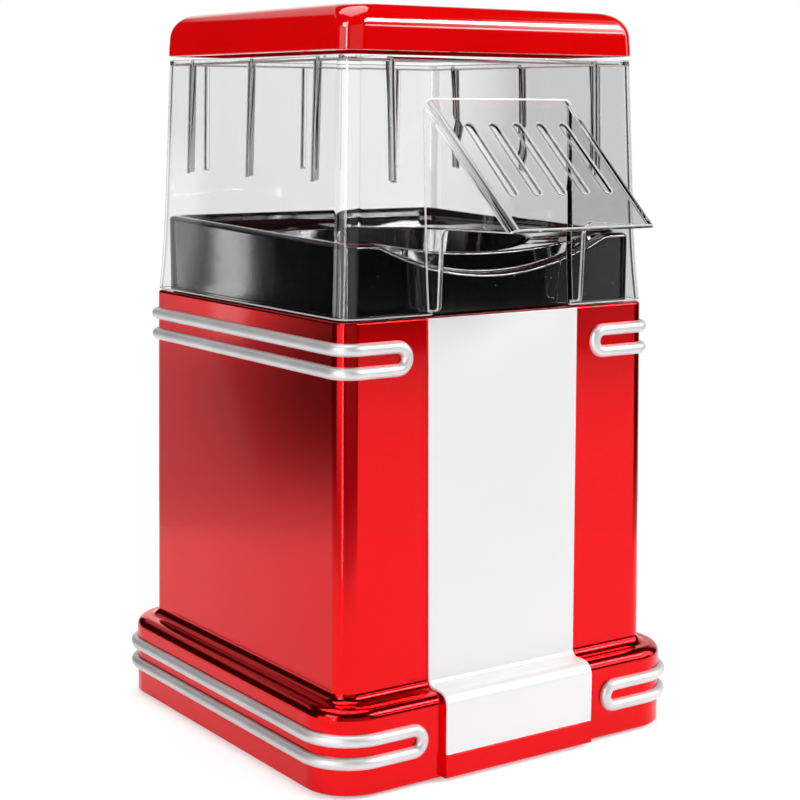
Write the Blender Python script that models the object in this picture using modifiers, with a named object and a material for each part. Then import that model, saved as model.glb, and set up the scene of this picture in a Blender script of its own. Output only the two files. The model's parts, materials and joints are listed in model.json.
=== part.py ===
"""A retro hot-air popcorn maker: red case, clear hood with a spout, lift-off lid, and its working parts.

Metres, +Z up. The front faces -Y. The origin is on the ground, under the middle of the whole footprint.
Each piece is built round the fan's axis, and FRAME_SHIFT then slides them all back by the spout's reach.
Run it with: blender --background --python part.py
"""

import math

import bmesh
import bpy
from mathutils import Matrix, Vector

# ---- Clearances ----
GAP = 0.0003                        # between pieces that touch
MERGE = 0.00002                     # welds the loose caps of curve-made plates

# ---- Case: a drafted body on a wider plinth, moulded as one shell ----
FOOT_HEIGHT = 0.0015                # ground to the plinth's lower edge
CASE_WALL = 0.0025
PLINTH_HALF_X = 0.0882
PLINTH_HALF_Y = 0.0898
PLINTH_CORNER = 0.020
PLINTH_TOP = 0.0355
PLINTH_SHOULDER = 0.0045
BODY_HALF_X = 0.0777                # at the plinth's top
BODY_HALF_Y = 0.0795
BODY_CORNER = 0.0075
BODY_FILLET = 0.004
BODY_DRAFT = math.radians(0.69)
BODY_TOP = 0.1832
BODY_TOP_EDGE = 0.0012
CASE_FLANGE = 0.011                 # the top flange's width, under the deck

# ---- Front panel, and the pad on the plinth that it runs over ----
PANEL_HALF_WIDTH = 0.037
PANEL_THICKNESS = 0.0008
PANEL_BOTTOM = 0.0114
PAD_PROUD = 0.0022
PAD_HALF_WIDTH = PANEL_HALF_WIDTH + 0.0003
LIP_PROUD = PAD_PROUD + GAP + PANEL_THICKNESS

# ---- Half-round trim loops ----
TRIM_RADIUS = 0.0025
TRIM_PITCH = 0.009                  # between a loop's two bars
TRIM_END_X = 0.0515                 # centre of the turn at each front end
UPPER_TRIM_Z = 0.1683
LOWER_TRIM_Z = 0.0192

# ---- Hood: clear walls, rim, ribs and spout ----
HOOD_SEAT = 0.0006                  # gap over the case's top edge
HOOD_BOTTOM = BODY_TOP + HOOD_SEAT
HOOD_TOP = 0.2825
HOOD_WALL = 0.002
HOOD_INSET = 0.0012
HOOD_TAPER = math.radians(2.09)
HOOD_FLARE = 0.0010
HOOD_FLARE_HEIGHT = 0.035
HOOD_CORNER = 0.0075
HOOD_RIM = 0.0045                   # the inward rim that the lid sits on
RIB_POSITIONS = (-0.050, 0.0, 0.050)
RIB_WIDTH = 0.0018
RIB_DEPTH = 0.0011
RIB_BOTTOM = 0.2352
SPOUT_HALF_WIDTH = 0.0365           # at the front wall
SPOUT_NARROWING = 0.0020            # less half width at the lip
SPOUT_WALL = 0.002
SPOUT_TOP = 0.2662
LIP_Y = -0.1270                     # the visor's outer edge
LIP_Z = 0.2192
CHEEK_Y = -0.0830                   # front edge of the spout's side walls
CHEEK_TOP = 0.2172
CHEEK_BOTTOM = 0.1856
SLOT_PITCH = 0.0115
SLOT_COUNT = 5
SLOT_WIDTH = 0.0034
SLOT_START_Y = -0.0850
SLOT_END_Y = -0.1120

# ---- Lid ----
LID_BOTTOM = HOOD_TOP + 0.0015
LID_HEIGHT = 0.0176
LID_OVERHANG = 0.0006
LID_WALL = 0.0022
LID_CORNER = 0.0085
SKIRT_DEPTH = 0.0018                # how far the lid's skirt hangs into the hood
SKIRT_WALL = 0.0016
SKIRT_CLEARANCE = 0.0010

# ---- Deck: the black tray round the popping chamber ----
DECK_WALL = 0.0018
DECK_CLEARANCE = 0.0012             # to the hood's inner wall
DECK_RIM_FRONT = 0.2118
DECK_RIM_BACK = 0.2160
DECK_SHELF = 0.2010
DECK_LIP = 0.1945                   # the flat ring that holds the chamber
DIP_HALF_WIDTH = 0.057
DIP_BOTTOM = 0.1985
CREST_BOTTOM = 0.2055
CREST_INSET = 0.0125

# ---- Popping chamber ----
CHAMBER_RADIUS = 0.0450             # outside
CHAMBER_WALL = 0.0010
CHAMBER_DEPTH = 0.0720
CHAMBER_FLANGE = 0.0040
LOUVRE_COUNT = 14
LOUVRE_LENGTH = 0.0120
LOUVRE_WIDTH = 0.0022

# ---- Air duct, heater and fan ----
DUCT_RADIUS = 0.0520
DUCT_WALL = 0.0020
DUCT_BOTTOM = 0.0620
EAR_RADIUS = 0.0562                 # screw ears round the duct, at both ends
EAR_SIZE = 0.0050
EAR_DROP = 0.0070                   # the top ears' seat, under the deck
EAR_HEIGHT = 0.0050
HEATER_BOTTOM = 0.0920
HEATER_HEIGHT = 0.0200
MICA_HALF_WIDTH = 0.0380
MICA_THICKNESS = 0.0008
COIL_WIRE = 0.0008
COIL_TURNS = 4
FAN_RADIUS = 0.0460
FAN_BOTTOM = 0.0670
FAN_HEIGHT = 0.0150
FAN_HUB = 0.0080
BLADE_COUNT = 6
BLADE_PITCH = math.radians(35)
BLADE_THICKNESS = 0.0014

# ---- Motor ----
MOTOR_RADIUS = 0.0140
MOTOR_LENGTH = 0.0380
BOARD_THICKNESS = 0.0016
SHAFT_RADIUS = 0.00115
SHAFT_CLEARANCE = 0.00008           # a running fit in the motor's bearing
SHAFT_DEPTH = 0.0235                # how far the shaft reaches into the motor
MOTOR_SCREW_PLACES = (-0.008, 0.008)
MOTOR_SCREW_SHANK = 0.00098
BRACKET_THICKNESS = 0.0030
BRACKET_HUB = 0.0165

# ---- Electrics ----
THERMOSTAT_Z = 0.150
THERMAL_FUSE_Z = 0.132
THERMAL_FUSE_RADIUS = 0.0020

# ---- Small parts ----
SCREW_SHANK = 0.0014
SCREW_HEAD = 0.0030
SCREW_HEAD_HEIGHT = 0.0012
HOLE_CLEARANCE = 0.0004
BOSS_RADIUS = 0.0040
COVER_THICKNESS = 0.0025
COVER_RECESS = 0.0005
FOOT_RADIUS = 0.0075
FOOT_X = 0.064
FOOT_Y = 0.066
POST_X = 0.0795
POST_Y = 0.052
POST_BORE_TOP = 0.020
SWITCH_X = 0.034
SWITCH_Z = 0.075
SWITCH_HALF_WIDTH = 0.0065
SWITCH_HALF_HEIGHT = 0.0095
SWITCH_WALL = 0.0012
ROCKER_TILT = math.radians(10)
GLAND_X = -0.034
GLAND_Z = 0.060
GLAND_RADIUS = 0.0060
GLAND_BORE = 0.0037

CORNER_STEPS = 5                    # facets in each rounded corner of a loft
SIDE_STOPS = 9                      # points along each side of the deck, between its corners
ROUND = 32                          # facets round a large turned part

# Worked out from the values above
CASE_UNDERSIDE = BODY_TOP - CASE_WALL
DECK_BOTTOM = BODY_TOP + GAP
CHAMBER_TOP = DECK_LIP + GAP + CHAMBER_WALL
CHAMBER_BOTTOM = CHAMBER_TOP - CHAMBER_DEPTH
CHAMBER_HOLE = CHAMBER_RADIUS + 0.0008
DUCT_TOP = DECK_LIP - DECK_WALL - GAP
FAN_TOP = FAN_BOTTOM + FAN_HEIGHT
BRACKET_TOP = DUCT_BOTTOM - GAP
BRACKET_BOTTOM = BRACKET_TOP - BRACKET_THICKNESS
MOTOR_TOP = BRACKET_BOTTOM - GAP
MOTOR_BOTTOM = MOTOR_TOP - MOTOR_LENGTH
BOARD_Z = MOTOR_BOTTOM - 0.0027     # clear of the motor's end bearing
COVER_BOTTOM = FOOT_HEIGHT + COVER_RECESS
COVER_TOP = COVER_BOTTOM + COVER_THICKNESS
FRAME_SHIFT = (-LIP_Y - (PLINTH_HALF_Y + GAP + TRIM_RADIUS)) / 2

COLOURS = {
    # name: (red, green, blue), roughness, metallic
    "red_metallic": ((0.62, 0.008, 0.012), 0.24, 0.75),
    "red_gloss": ((0.75, 0.008, 0.010), 0.12, 0.0),
    "panel_grey": ((0.80, 0.80, 0.81), 0.38, 0.10),
    "silver": ((0.72, 0.72, 0.73), 0.22, 1.0),
    "clear": ((0.94, 0.95, 0.96), 0.04, 0.0),
    "black_gloss": ((0.012, 0.012, 0.013), 0.12, 0.0),
    "black_matte": ((0.025, 0.025, 0.027), 0.55, 0.0),
    "aluminium": ((0.78, 0.79, 0.80), 0.32, 1.0),
    "steel": ((0.60, 0.61, 0.62), 0.30, 1.0),
    "mica": ((0.50, 0.44, 0.34), 0.55, 0.0),
    "wire": ((0.42, 0.41, 0.40), 0.35, 1.0),
    "board": ((0.05, 0.26, 0.10), 0.50, 0.0),
    "rubber": ((0.03, 0.03, 0.03), 0.85, 0.0),
    "insulation": ((0.75, 0.73, 0.68), 0.50, 0.0),
}


# ---------------------------------------------------------------- scene and materials

def clear_scene():
    for obj in list(bpy.data.objects):
        bpy.data.objects.remove(obj, do_unlink=True)


def collection(name):
    made = bpy.data.collections.new(name)
    bpy.context.scene.collection.children.link(made)
    return made


def material(name):
    if name in bpy.data.materials:
        return bpy.data.materials[name]
    colour, roughness, metallic = COLOURS[name]
    made = bpy.data.materials.new(name)
    made.use_nodes = True
    shader = made.node_tree.nodes["Principled BSDF"]
    shader.inputs["Base Color"].default_value = (*colour, 1.0)
    shader.inputs["Roughness"].default_value = roughness
    shader.inputs["Metallic"].default_value = metallic
    return made


def object_of(name, mesh, target):
    obj = bpy.data.objects.new(name, mesh)
    target.objects.link(obj)
    return obj


def as_cutter(obj):
    """Moves a helper object to the cutters, where it takes no part in the build or a render."""
    for home in list(obj.users_collection):
        home.objects.unlink(obj)
    CUTTERS.objects.link(obj)
    obj.hide_render = True
    obj.display_type = "WIRE"
    return obj


def part(obj, finish, smooth_angle=40.0):
    """Makes obj a piece of the popcorn maker, with its material and smooth round faces."""
    for home in list(obj.users_collection):
        home.objects.unlink(obj)
    PARTS.objects.link(obj)
    obj.data.materials.clear()
    obj.data.materials.append(material(finish))
    obj.data.shade_smooth()
    obj.data.set_sharp_from_angle(angle=math.radians(smooth_angle))
    return obj


def bake(obj):
    """Turns obj's modifiers into plain mesh, so that copies and joined parts can share it."""
    bpy.context.view_layer.update()
    graph = bpy.context.evaluated_depsgraph_get()
    mesh = bpy.data.meshes.new_from_object(obj.evaluated_get(graph))
    if obj.type == "CURVE":
        mesh.transform(obj.matrix_world)
        made = object_of(obj.name + "_mesh", mesh, CUTTERS)
        name = obj.name
        bpy.data.objects.remove(obj)
        made.name = name
        weld(made)
        return made
    obj.modifiers.clear()
    obj.data = mesh
    return obj


def weld(obj):
    made = bmesh.new()
    made.from_mesh(obj.data)
    bmesh.ops.remove_doubles(made, verts=made.verts, dist=MERGE)
    bmesh.ops.recalc_face_normals(made, faces=made.faces)
    made.to_mesh(obj.data)
    made.free()
    return obj


def combine(obj, others, operation):
    """Joins the others to obj, or cuts them from it, one Boolean modifier each."""
    for other in others:
        as_cutter(other)
        modifier = obj.modifiers.new(f"{operation.lower()}_{other.name}", "BOOLEAN")
        modifier.operation = operation
        modifier.object = other
        modifier.solver = "EXACT"
    return obj


def union(obj, *others):
    return combine(obj, others, "UNION")


def cut(obj, *others):
    return combine(obj, others, "DIFFERENCE")


# ---------------------------------------------------------------- basic shapes

def box(name, centre, size, rotation=None):
    made = bmesh.new()
    bmesh.ops.create_cube(made, size=1.0)
    bmesh.ops.scale(made, vec=size, verts=made.verts)
    if rotation:
        made.transform(rotation)
    bmesh.ops.translate(made, vec=centre, verts=made.verts)
    mesh = bpy.data.meshes.new(name)
    made.to_mesh(mesh)
    made.free()
    return object_of(name, mesh, CUTTERS)


def rod(name, radius, start, end, segments=20):
    """A cylinder from one point to another."""
    start, end = Vector(start), Vector(end)
    axis = end - start
    made = bmesh.new()
    bmesh.ops.create_cone(
        made, cap_ends=True, segments=segments, radius1=radius, radius2=radius, depth=axis.length
    )
    turn = Vector((0, 0, 1)).rotation_difference(axis.normalized()).to_matrix().to_4x4()
    made.transform(Matrix.Translation((start + end) / 2) @ turn)
    mesh = bpy.data.meshes.new(name)
    made.to_mesh(mesh)
    made.free()
    return object_of(name, mesh, CUTTERS)


def turned(name, profile, segments=ROUND):
    """Spins a closed outline of (radius, z) points about Z. The outline runs down its outer side."""
    mesh = bpy.data.meshes.new(name)
    points = [(radius, 0.0, z) for radius, z in profile]
    closed = profile[0] == profile[-1]
    if closed:
        points.pop()
    edges = [(i, i + 1) for i in range(len(points) - 1)]
    if closed:
        edges.append((len(points) - 1, 0))
    mesh.from_pydata(points, edges, [])
    obj = object_of(name, mesh, CUTTERS)
    screw = obj.modifiers.new("spin", "SCREW")
    screw.axis = "Z"
    screw.steps = segments
    screw.render_steps = segments
    screw.use_merge_vertices = True
    screw.merge_threshold = MERGE
    return obj


def plate(name, outline, thickness, matrix):
    """A flat outline of (x, y) points, thickened both ways about its plane and placed by matrix."""
    curve = bpy.data.curves.new(name, "CURVE")
    curve.dimensions = "2D"
    curve.fill_mode = "BOTH"
    curve.extrude = thickness / 2
    spline = curve.splines.new("POLY")
    spline.points.add(len(outline) - 1)
    for point, (x, y) in zip(spline.points, outline):
        point.co = (x, y, 0.0, 1.0)
    spline.use_cyclic_u = True
    obj = object_of(name, curve, CUTTERS)
    obj.matrix_world = matrix
    return bake(obj)


def side_plate(name, outline, x_from, x_to):
    """A plate whose outline is given as (y, z), from one x to another."""
    across = Matrix(((0, 0, 1, (x_from + x_to) / 2), (1, 0, 0, 0), (0, 1, 0, 0), (0, 0, 0, 1)))
    return plate(name, outline, abs(x_to - x_from), across)


def rounded(points, radii, steps=4):
    """A run of (u, v) corners, with an arc of the given radius at each corner that has one."""
    made = []
    count = len(points)
    for i, (point, radius) in enumerate(zip(points, radii)):
        here = Vector(point)
        if not radius:
            made.append(tuple(here))
            continue
        back = (Vector(points[i - 1]) - here).normalized()
        ahead = (Vector(points[(i + 1) % count]) - here).normalized()
        half = back.angle(ahead) / 2
        centre = here + (back + ahead).normalized() * radius / math.sin(half)
        start = here + back * radius / math.tan(half) - centre
        end = here + ahead * radius / math.tan(half) - centre
        for step in range(steps + 1):
            share = step / steps
            turned_by = start.angle_signed(end) * share
            made.append(tuple(centre + Matrix.Rotation(-turned_by, 2) @ start))
    return made


def ring(half_x, half_y, radius, z, steps=CORNER_STEPS):
    """Points round a rounded rectangle, anticlockwise from above. z is a height or a function of x and y."""
    made = []
    for quarter, (side_x, side_y) in enumerate(((1, 1), (-1, 1), (-1, -1), (1, -1))):
        for step in range(steps + 1):
            angle = math.pi / 2 * (quarter + step / steps)
            x = side_x * (half_x - radius) + radius * math.cos(angle)
            y = side_y * (half_y - radius) + radius * math.sin(angle)
            made.append(Vector((x, y, z(x, y) if callable(z) else z)))
    return made


def loft(name, rings, cap_first=False, cap_last=False, closed=False):
    """A skin over rings of equal point counts. Rings that rise give faces that point out."""
    made = bmesh.new()
    rows = [[made.verts.new(point) for point in points] for points in rings]
    count = len(rows[0])
    if closed:
        rows.append(rows[0])
    for low, high in zip(rows, rows[1:]):
        for i in range(count):
            j = (i + 1) % count
            made.faces.new((low[i], low[j], high[j], high[i]))
    if cap_first:
        made.faces.new(list(reversed(rows[0])))
    if cap_last:
        made.faces.new(rows[-1])
    mesh = bpy.data.meshes.new(name)
    made.to_mesh(mesh)
    made.free()
    return object_of(name, mesh, CUTTERS)


def thicken(obj, thickness, even=True):
    """Gives an open skin a wall, on the side that its faces point away from."""
    solidify = obj.modifiers.new("wall", "SOLIDIFY")
    solidify.thickness = thickness
    solidify.offset = -1.0
    solidify.use_even_offset = even
    return obj


def bevel(obj, width, segments=2, angle=40.0):
    modifier = obj.modifiers.new("edge", "BEVEL")
    modifier.width = width
    modifier.segments = segments
    modifier.limit_method = "ANGLE"
    modifier.angle_limit = math.radians(angle)
    return obj


def numbered(name, pieces, finish):
    """Names a set of like pieces NAME_1, NAME_2 and so on, each its own object."""
    for n, piece in enumerate(pieces, start=1):
        piece.name = f"{name}_{n}"
        part(piece, finish)


def mirrored_places(x, y):
    return [(side_x * x, side_y * y) for side_x in (-1, 1) for side_y in (-1, 1)]


# ---------------------------------------------------------------- case

def body_half(z):
    """The body's half width and half depth at height z, with its draft."""
    inset = math.tan(BODY_DRAFT) * (z - PLINTH_TOP)
    return BODY_HALF_X - inset, BODY_HALF_Y - inset


def plinth_rings():
    rings = [
        ring(PLINTH_HALF_X, PLINTH_HALF_Y, PLINTH_CORNER, FOOT_HEIGHT),
    ]
    for step in range(4):
        angle = math.pi / 2 * step / 3
        inset = PLINTH_SHOULDER * (1 - math.cos(angle))
        z = PLINTH_TOP - PLINTH_SHOULDER * (1 - math.sin(angle))
        rings.append(ring(PLINTH_HALF_X - inset, PLINTH_HALF_Y - inset, PLINTH_CORNER - inset, z))
    return rings


def body_rings():
    rings = []
    for step in range(4):
        angle = math.pi / 2 * step / 3
        out = BODY_FILLET * (1 - math.sin(angle))
        z = PLINTH_TOP + BODY_FILLET * (1 - math.cos(angle))
        half_x, half_y = body_half(z)
        rings.append(ring(half_x + out, half_y + out, BODY_CORNER + out, z))
    for step in range(3):
        angle = math.pi / 2 * step / 2
        inset = BODY_TOP_EDGE * (1 - math.cos(angle))
        z = BODY_TOP - BODY_TOP_EDGE * (1 - math.sin(angle))
        half_x, half_y = body_half(z)
        rings.append(ring(half_x - inset, half_y - inset, BODY_CORNER - inset, z))
    return rings


def case_lining():
    """The case's inner face, from the top flange down to the plinth's lower edge."""
    half_x, half_y = body_half(BODY_TOP)
    inset = CASE_FLANGE + CASE_WALL
    rings = [ring(half_x - inset, half_y - inset, BODY_CORNER, z) for z in (BODY_TOP, CASE_UNDERSIDE)]
    for z in (CASE_UNDERSIDE, PLINTH_TOP + BODY_FILLET):
        half_x, half_y = body_half(z)
        rings.append(ring(half_x - CASE_WALL, half_y - CASE_WALL, BODY_CORNER - CASE_WALL, z))
    roof = PLINTH_TOP - CASE_WALL
    half_x, half_y = body_half(roof)
    fillet = BODY_FILLET - CASE_WALL
    rings.append(ring(half_x + fillet - CASE_WALL, half_y + fillet - CASE_WALL, BODY_CORNER, roof))
    half_x, half_y = PLINTH_HALF_X - CASE_WALL, PLINTH_HALF_Y - CASE_WALL
    corner = PLINTH_CORNER - CASE_WALL
    inset = PLINTH_SHOULDER - CASE_WALL
    rings.append(ring(half_x - inset, half_y - inset, corner - inset, roof))
    rings.append(ring(half_x, half_y, corner, roof - inset))
    rings.append(ring(half_x, half_y, corner, FOOT_HEIGHT))
    return rings


def panel_pad():
    """The raised pad on the plinth's front, with the lip below the panel's lower end."""
    inner = -(PLINTH_HALF_Y - CASE_WALL / 2)
    pad = -(PLINTH_HALF_Y + PAD_PROUD)
    lip = -(PLINTH_HALF_Y + LIP_PROUD)
    step_z = PANEL_BOTTOM - GAP
    top = PLINTH_TOP - GAP
    low = FOOT_HEIGHT + GAP
    outline = rounded(
        [
            (inner, low),
            (lip, low),
            (lip, step_z),
            (pad, step_z),
            (pad, top),
            (inner + PLINTH_SHOULDER, top),
            (inner + PLINTH_SHOULDER, top - CASE_WALL / 2),
            (inner, top - PLINTH_SHOULDER),
        ],
        [0, 0.0006, 0.0006, 0, PLINTH_SHOULDER, 0, 0, 0],
    )
    return side_plate("panel_pad", outline, -PAD_HALF_WIDTH, PAD_HALF_WIDTH)


def case_posts():
    """Blind screw posts that rise from the bottom cover, tied to the case walls by ribs."""
    posts = []
    bores = []
    for n, (x, y) in enumerate(mirrored_places(POST_X, POST_Y)):
        low = COVER_TOP + GAP
        high = PLINTH_TOP - CASE_WALL / 2
        posts.append(rod(f"post_{n}", BOSS_RADIUS, (x, y, low), (x, y, high), 16))
        bore = SCREW_SHANK + HOLE_CLEARANCE
        bores.append(rod(f"post_bore_{n}", bore, (x, y, low - 0.002), (x, y, POST_BORE_TOP), 12))
    return posts, bores


def deck_screw_places():
    half_x, half_y = body_half(BODY_TOP)
    inset = CASE_WALL + CASE_FLANGE / 2 + 0.0015
    return mirrored_places(half_x - inset, half_y - 0.030)


def body_shell():
    obj = loft("body_shell", plinth_rings() + body_rings() + case_lining(), closed=True)
    posts, bores = case_posts()
    union(obj, panel_pad(), *posts)
    cut(obj, *bores)
    rear = BODY_HALF_Y
    window = box(
        "switch_window",
        (SWITCH_X, rear, SWITCH_Z),
        (2 * (SWITCH_HALF_WIDTH + GAP), 0.02, 2 * (SWITCH_HALF_HEIGHT + GAP)),
    )
    inside, outside = (GLAND_X, rear - 0.01, GLAND_Z), (GLAND_X, rear + 0.01, GLAND_Z)
    gland_hole = rod("gland_hole", GLAND_RADIUS + GAP, inside, outside, 24)
    holes = []
    for n, (x, y) in enumerate(deck_screw_places()):
        under, over = (x, y, BODY_TOP - 0.01), (x, y, BODY_TOP + 0.01)
        holes.append(rod(f"flange_hole_{n}", SCREW_SHANK + HOLE_CLEARANCE, under, over, 12))
    cut(obj, window, gland_hole, *holes)
    return part(obj, "red_metallic")


def panel_line(out):
    """The front panel's path as (y, z) points, a distance out from the case's surface."""
    top = BODY_TOP - 0.0004
    _, top_y = body_half(top)
    _, foot_y = body_half(PLINTH_TOP)
    pad = PLINTH_HALF_Y + PAD_PROUD
    corners = [
        (-(top_y + out), top),
        (-(foot_y + out), PLINTH_TOP + out),
        (-(pad + out), PLINTH_TOP + out),
        (-(pad + out), PANEL_BOTTOM),
    ]
    return rounded(corners, [0, BODY_FILLET - out, PLINTH_SHOULDER + out, 0], steps=4)


def front_panel():
    outline = panel_line(GAP + PANEL_THICKNESS) + list(reversed(panel_line(GAP)))
    obj = side_plate("front_panel", outline, -PANEL_HALF_WIDTH, PANEL_HALF_WIDTH)
    return part(obj, "panel_grey", 30)


def half_round_loop(name, path):
    """Sweeps a half-round bar, flat side in, along a closed path of (point, outward normal) pairs."""
    made = bmesh.new()
    rows = []
    count = len(path)
    for i, (point, normal) in enumerate(path):
        along = (path[(i + 1) % count][0] - path[i - 1][0]).normalized()
        side = normal.cross(along).normalized()
        row = []
        for step in range(7):
            angle = math.pi * step / 6
            out = side * math.cos(angle) + normal * math.sin(angle)
            row.append(made.verts.new(point + TRIM_RADIUS * out))
        rows.append(row)
    for i, row in enumerate(rows):
        after = rows[(i + 1) % count]
        for j in range(len(row)):
            k = (j + 1) % len(row)
            made.faces.new((row[j], row[k], after[k], after[j]))
    bmesh.ops.recalc_face_normals(made, faces=made.faces)
    mesh = bpy.data.meshes.new(name)
    made.to_mesh(mesh)
    made.free()
    return object_of(name, mesh, CUTTERS)


def trim_path(half_x, half_y, corner, middle_z):
    """A hairpin loop: round the left side, back and right side, with a turn at each front end."""
    bar = []
    for first, (side_x, side_y) in zip((270, 180, 90, 0), ((-1, -1), (-1, 1), (1, 1), (1, -1))):
        centre = Vector((side_x * (half_x - corner), side_y * (half_y - corner), 0))
        for step in range(7):
            angle = math.radians(first - 90 * step / 6)
            normal = Vector((math.cos(angle), math.sin(angle), 0))
            bar.append((centre + corner * normal, normal))
    rise = Vector((0, 0, TRIM_PITCH / 2))
    middle = Vector((0, 0, middle_z))
    front = Vector((0, -1, 0))
    top = [(point + middle + rise, normal) for point, normal in bar]
    low = [(point + middle - rise, normal) for point, normal in reversed(bar)]

    def turn(side):
        """The half circle at a front end, from the top bar to the low one for the right side."""
        made = []
        for step in range(7):
            angle = math.pi * step / 6
            across = -side * math.sin(angle) * TRIM_PITCH / 2
            up = side * math.cos(angle) * TRIM_PITCH / 2
            made.append((Vector((side * TRIM_END_X + across, -half_y, middle_z + up)), front))
        return made

    return top + turn(1) + low + turn(-1)


def upper_trim():
    half_x, half_y = body_half(UPPER_TRIM_Z - TRIM_PITCH)
    path = trim_path(half_x + GAP, half_y + GAP, BODY_CORNER + GAP, UPPER_TRIM_Z)
    return part(half_round_loop("upper_trim", path), "silver")


def lower_trim():
    path = trim_path(PLINTH_HALF_X + GAP, PLINTH_HALF_Y + GAP, PLINTH_CORNER + GAP, LOWER_TRIM_Z)
    return part(half_round_loop("lower_trim", path), "silver")


# ---------------------------------------------------------------- hood and lid

def hood_half(z):
    """The hood's outer half width and half depth at height z: a steady taper, flared at the foot."""
    half_x, half_y = body_half(BODY_TOP)
    height = z - HOOD_BOTTOM
    inset = HOOD_INSET + math.tan(HOOD_TAPER) * height
    flare = HOOD_FLARE * max(0.0, 1 - height / HOOD_FLARE_HEIGHT) ** 2
    return half_x - inset + flare, half_y - inset + flare


def hood_walls():
    heights = [HOOD_BOTTOM + HOOD_FLARE_HEIGHT * share for share in (0, 0.25, 0.55, 1)]
    heights.append(HOOD_TOP)
    rings = [ring(*hood_half(z), HOOD_CORNER, z) for z in heights]
    half_x, half_y = hood_half(HOOD_TOP)
    rim = HOOD_RIM
    rings.append(ring(half_x - rim, half_y - rim, HOOD_CORNER - rim, HOOD_TOP))
    return thicken(loft("hood", rings), HOOD_WALL)


def hood_ribs():
    """Thin upright ribs inside the walls, hung from the rim. The front's middle is left to the spout."""
    ribs = []
    middle_z = (RIB_BOTTOM + HOOD_TOP - HOOD_WALL / 2) / 2
    height = HOOD_TOP - HOOD_WALL / 2 - RIB_BOTTOM
    half_x, half_y = hood_half(HOOD_TOP)
    reach = HOOD_WALL / 2 + RIB_DEPTH
    depth = reach + 0.001
    for n, place in enumerate(RIB_POSITIONS):
        for side in (-1, 1):
            rib = box(f"rib_x{side}_{n}", (0, 0, 0), (depth, RIB_WIDTH, height))
            centre = (side * (half_x - HOOD_WALL / 2 - reach / 2), place, middle_z)
            ribs.append(lean(rib, centre, side, 0))
        for side in (-1, 1) if place else (1,):
            rib = box(f"rib_y{side}_{n}", (0, 0, 0), (RIB_WIDTH, depth, height))
            centre = (place, side * (half_y - HOOD_WALL / 2 - reach / 2), middle_z)
            ribs.append(lean(rib, centre, 0, side))
    return ribs


def lean(obj, centre, side_x, side_y):
    """Places a rib and leans it with the drafted wall behind it."""
    half_height = HOOD_TOP - HOOD_WALL / 2 - centre[2]
    out = math.tan(HOOD_TAPER) * half_height
    slope = Matrix.Identity(4)
    slope[0][2] = -side_x * math.tan(HOOD_TAPER)
    slope[1][2] = -side_y * math.tan(HOOD_TAPER)
    place = Matrix.Translation(Vector(centre) + Vector((side_x * out, side_y * out, 0)))
    obj.data.transform(place @ slope)
    return obj


def visor_point(y, out=0.0):
    """(y, z) on the visor's outer face above depth y, or a distance out from that face."""
    _, wall_y = hood_half(SPOUT_TOP)
    top = Vector((-wall_y, SPOUT_TOP))
    along = (Vector((LIP_Y, LIP_Z)) - top).normalized()
    reach = (y - top.x) / along.x
    normal = Vector((along.y, -along.x))
    point = top + along * reach + normal * out
    return point.x, point.y


def narrow(obj):
    """Draws a spout piece in towards the lip, so that both sides lean in evenly."""
    root_y = -hood_half(SPOUT_TOP)[1]
    rate = SPOUT_NARROWING / SPOUT_HALF_WIDTH / (root_y - LIP_Y)
    for vert in obj.data.vertices:
        vert.co.x *= 1 - rate * (root_y - vert.co.y)
    return obj


def spout_cheek(name, x_from, x_to):
    """One side wall of the spout: a triangle under the visor, and a narrow strip down to the case."""
    _, wall_y = hood_half(SPOUT_TOP)
    _, foot_y = hood_half(CHEEK_BOTTOM)
    inside = HOOD_WALL / 2
    outline = rounded(
        [
            visor_point(-(wall_y - inside)),
            visor_point(LIP_Y),
            (LIP_Y + 0.0012, LIP_Z - 0.0012),
            (CHEEK_Y - 0.0015, CHEEK_TOP),
            (CHEEK_Y, CHEEK_BOTTOM),
            (-(foot_y - inside), CHEEK_BOTTOM),
        ],
        [0, 0, 0, 0.003, 0.002, 0],
        steps=3,
    )
    return narrow(side_plate(name, outline, x_from, x_to))


def spout_visor():
    """The sloping plate over the mouth, with its row of vent slots."""
    _, wall_y = hood_half(SPOUT_TOP)
    back = -(wall_y - HOOD_WALL / 2)
    inside = -SPOUT_WALL
    outline = [visor_point(back), visor_point(LIP_Y), visor_point(LIP_Y, inside), visor_point(back, inside)]
    obj = narrow(side_plate("spout_visor", outline, -SPOUT_HALF_WIDTH + 0.0005, SPOUT_HALF_WIDTH - 0.0005))
    cutters = []
    start = Vector((0, *visor_point(SLOT_START_Y, -SPOUT_WALL / 2)))
    end = Vector((0, *visor_point(SLOT_END_Y, -SPOUT_WALL / 2)))
    along = (end - start).normalized()
    turn = Vector((0, 1, 0)).rotation_difference(along).to_matrix().to_4x4()
    length = (end - start).length
    radius = SLOT_WIDTH / 2
    corner = length / 2 + radius
    corners = [(-radius, -corner), (radius, -corner), (radius, corner), (-radius, corner)]
    outline = rounded(corners, [radius * 0.98] * 4, steps=3)
    for n in range(SLOT_COUNT):
        shift = Vector(((n - (SLOT_COUNT - 1) / 2) * SLOT_PITCH, 0, 0))
        place = Matrix.Translation((start + end) / 2 + shift) @ turn
        cutters.append(plate(f"slot_{n}", outline, SPOUT_WALL * 4, place))
    return cut(obj, *cutters)


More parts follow.
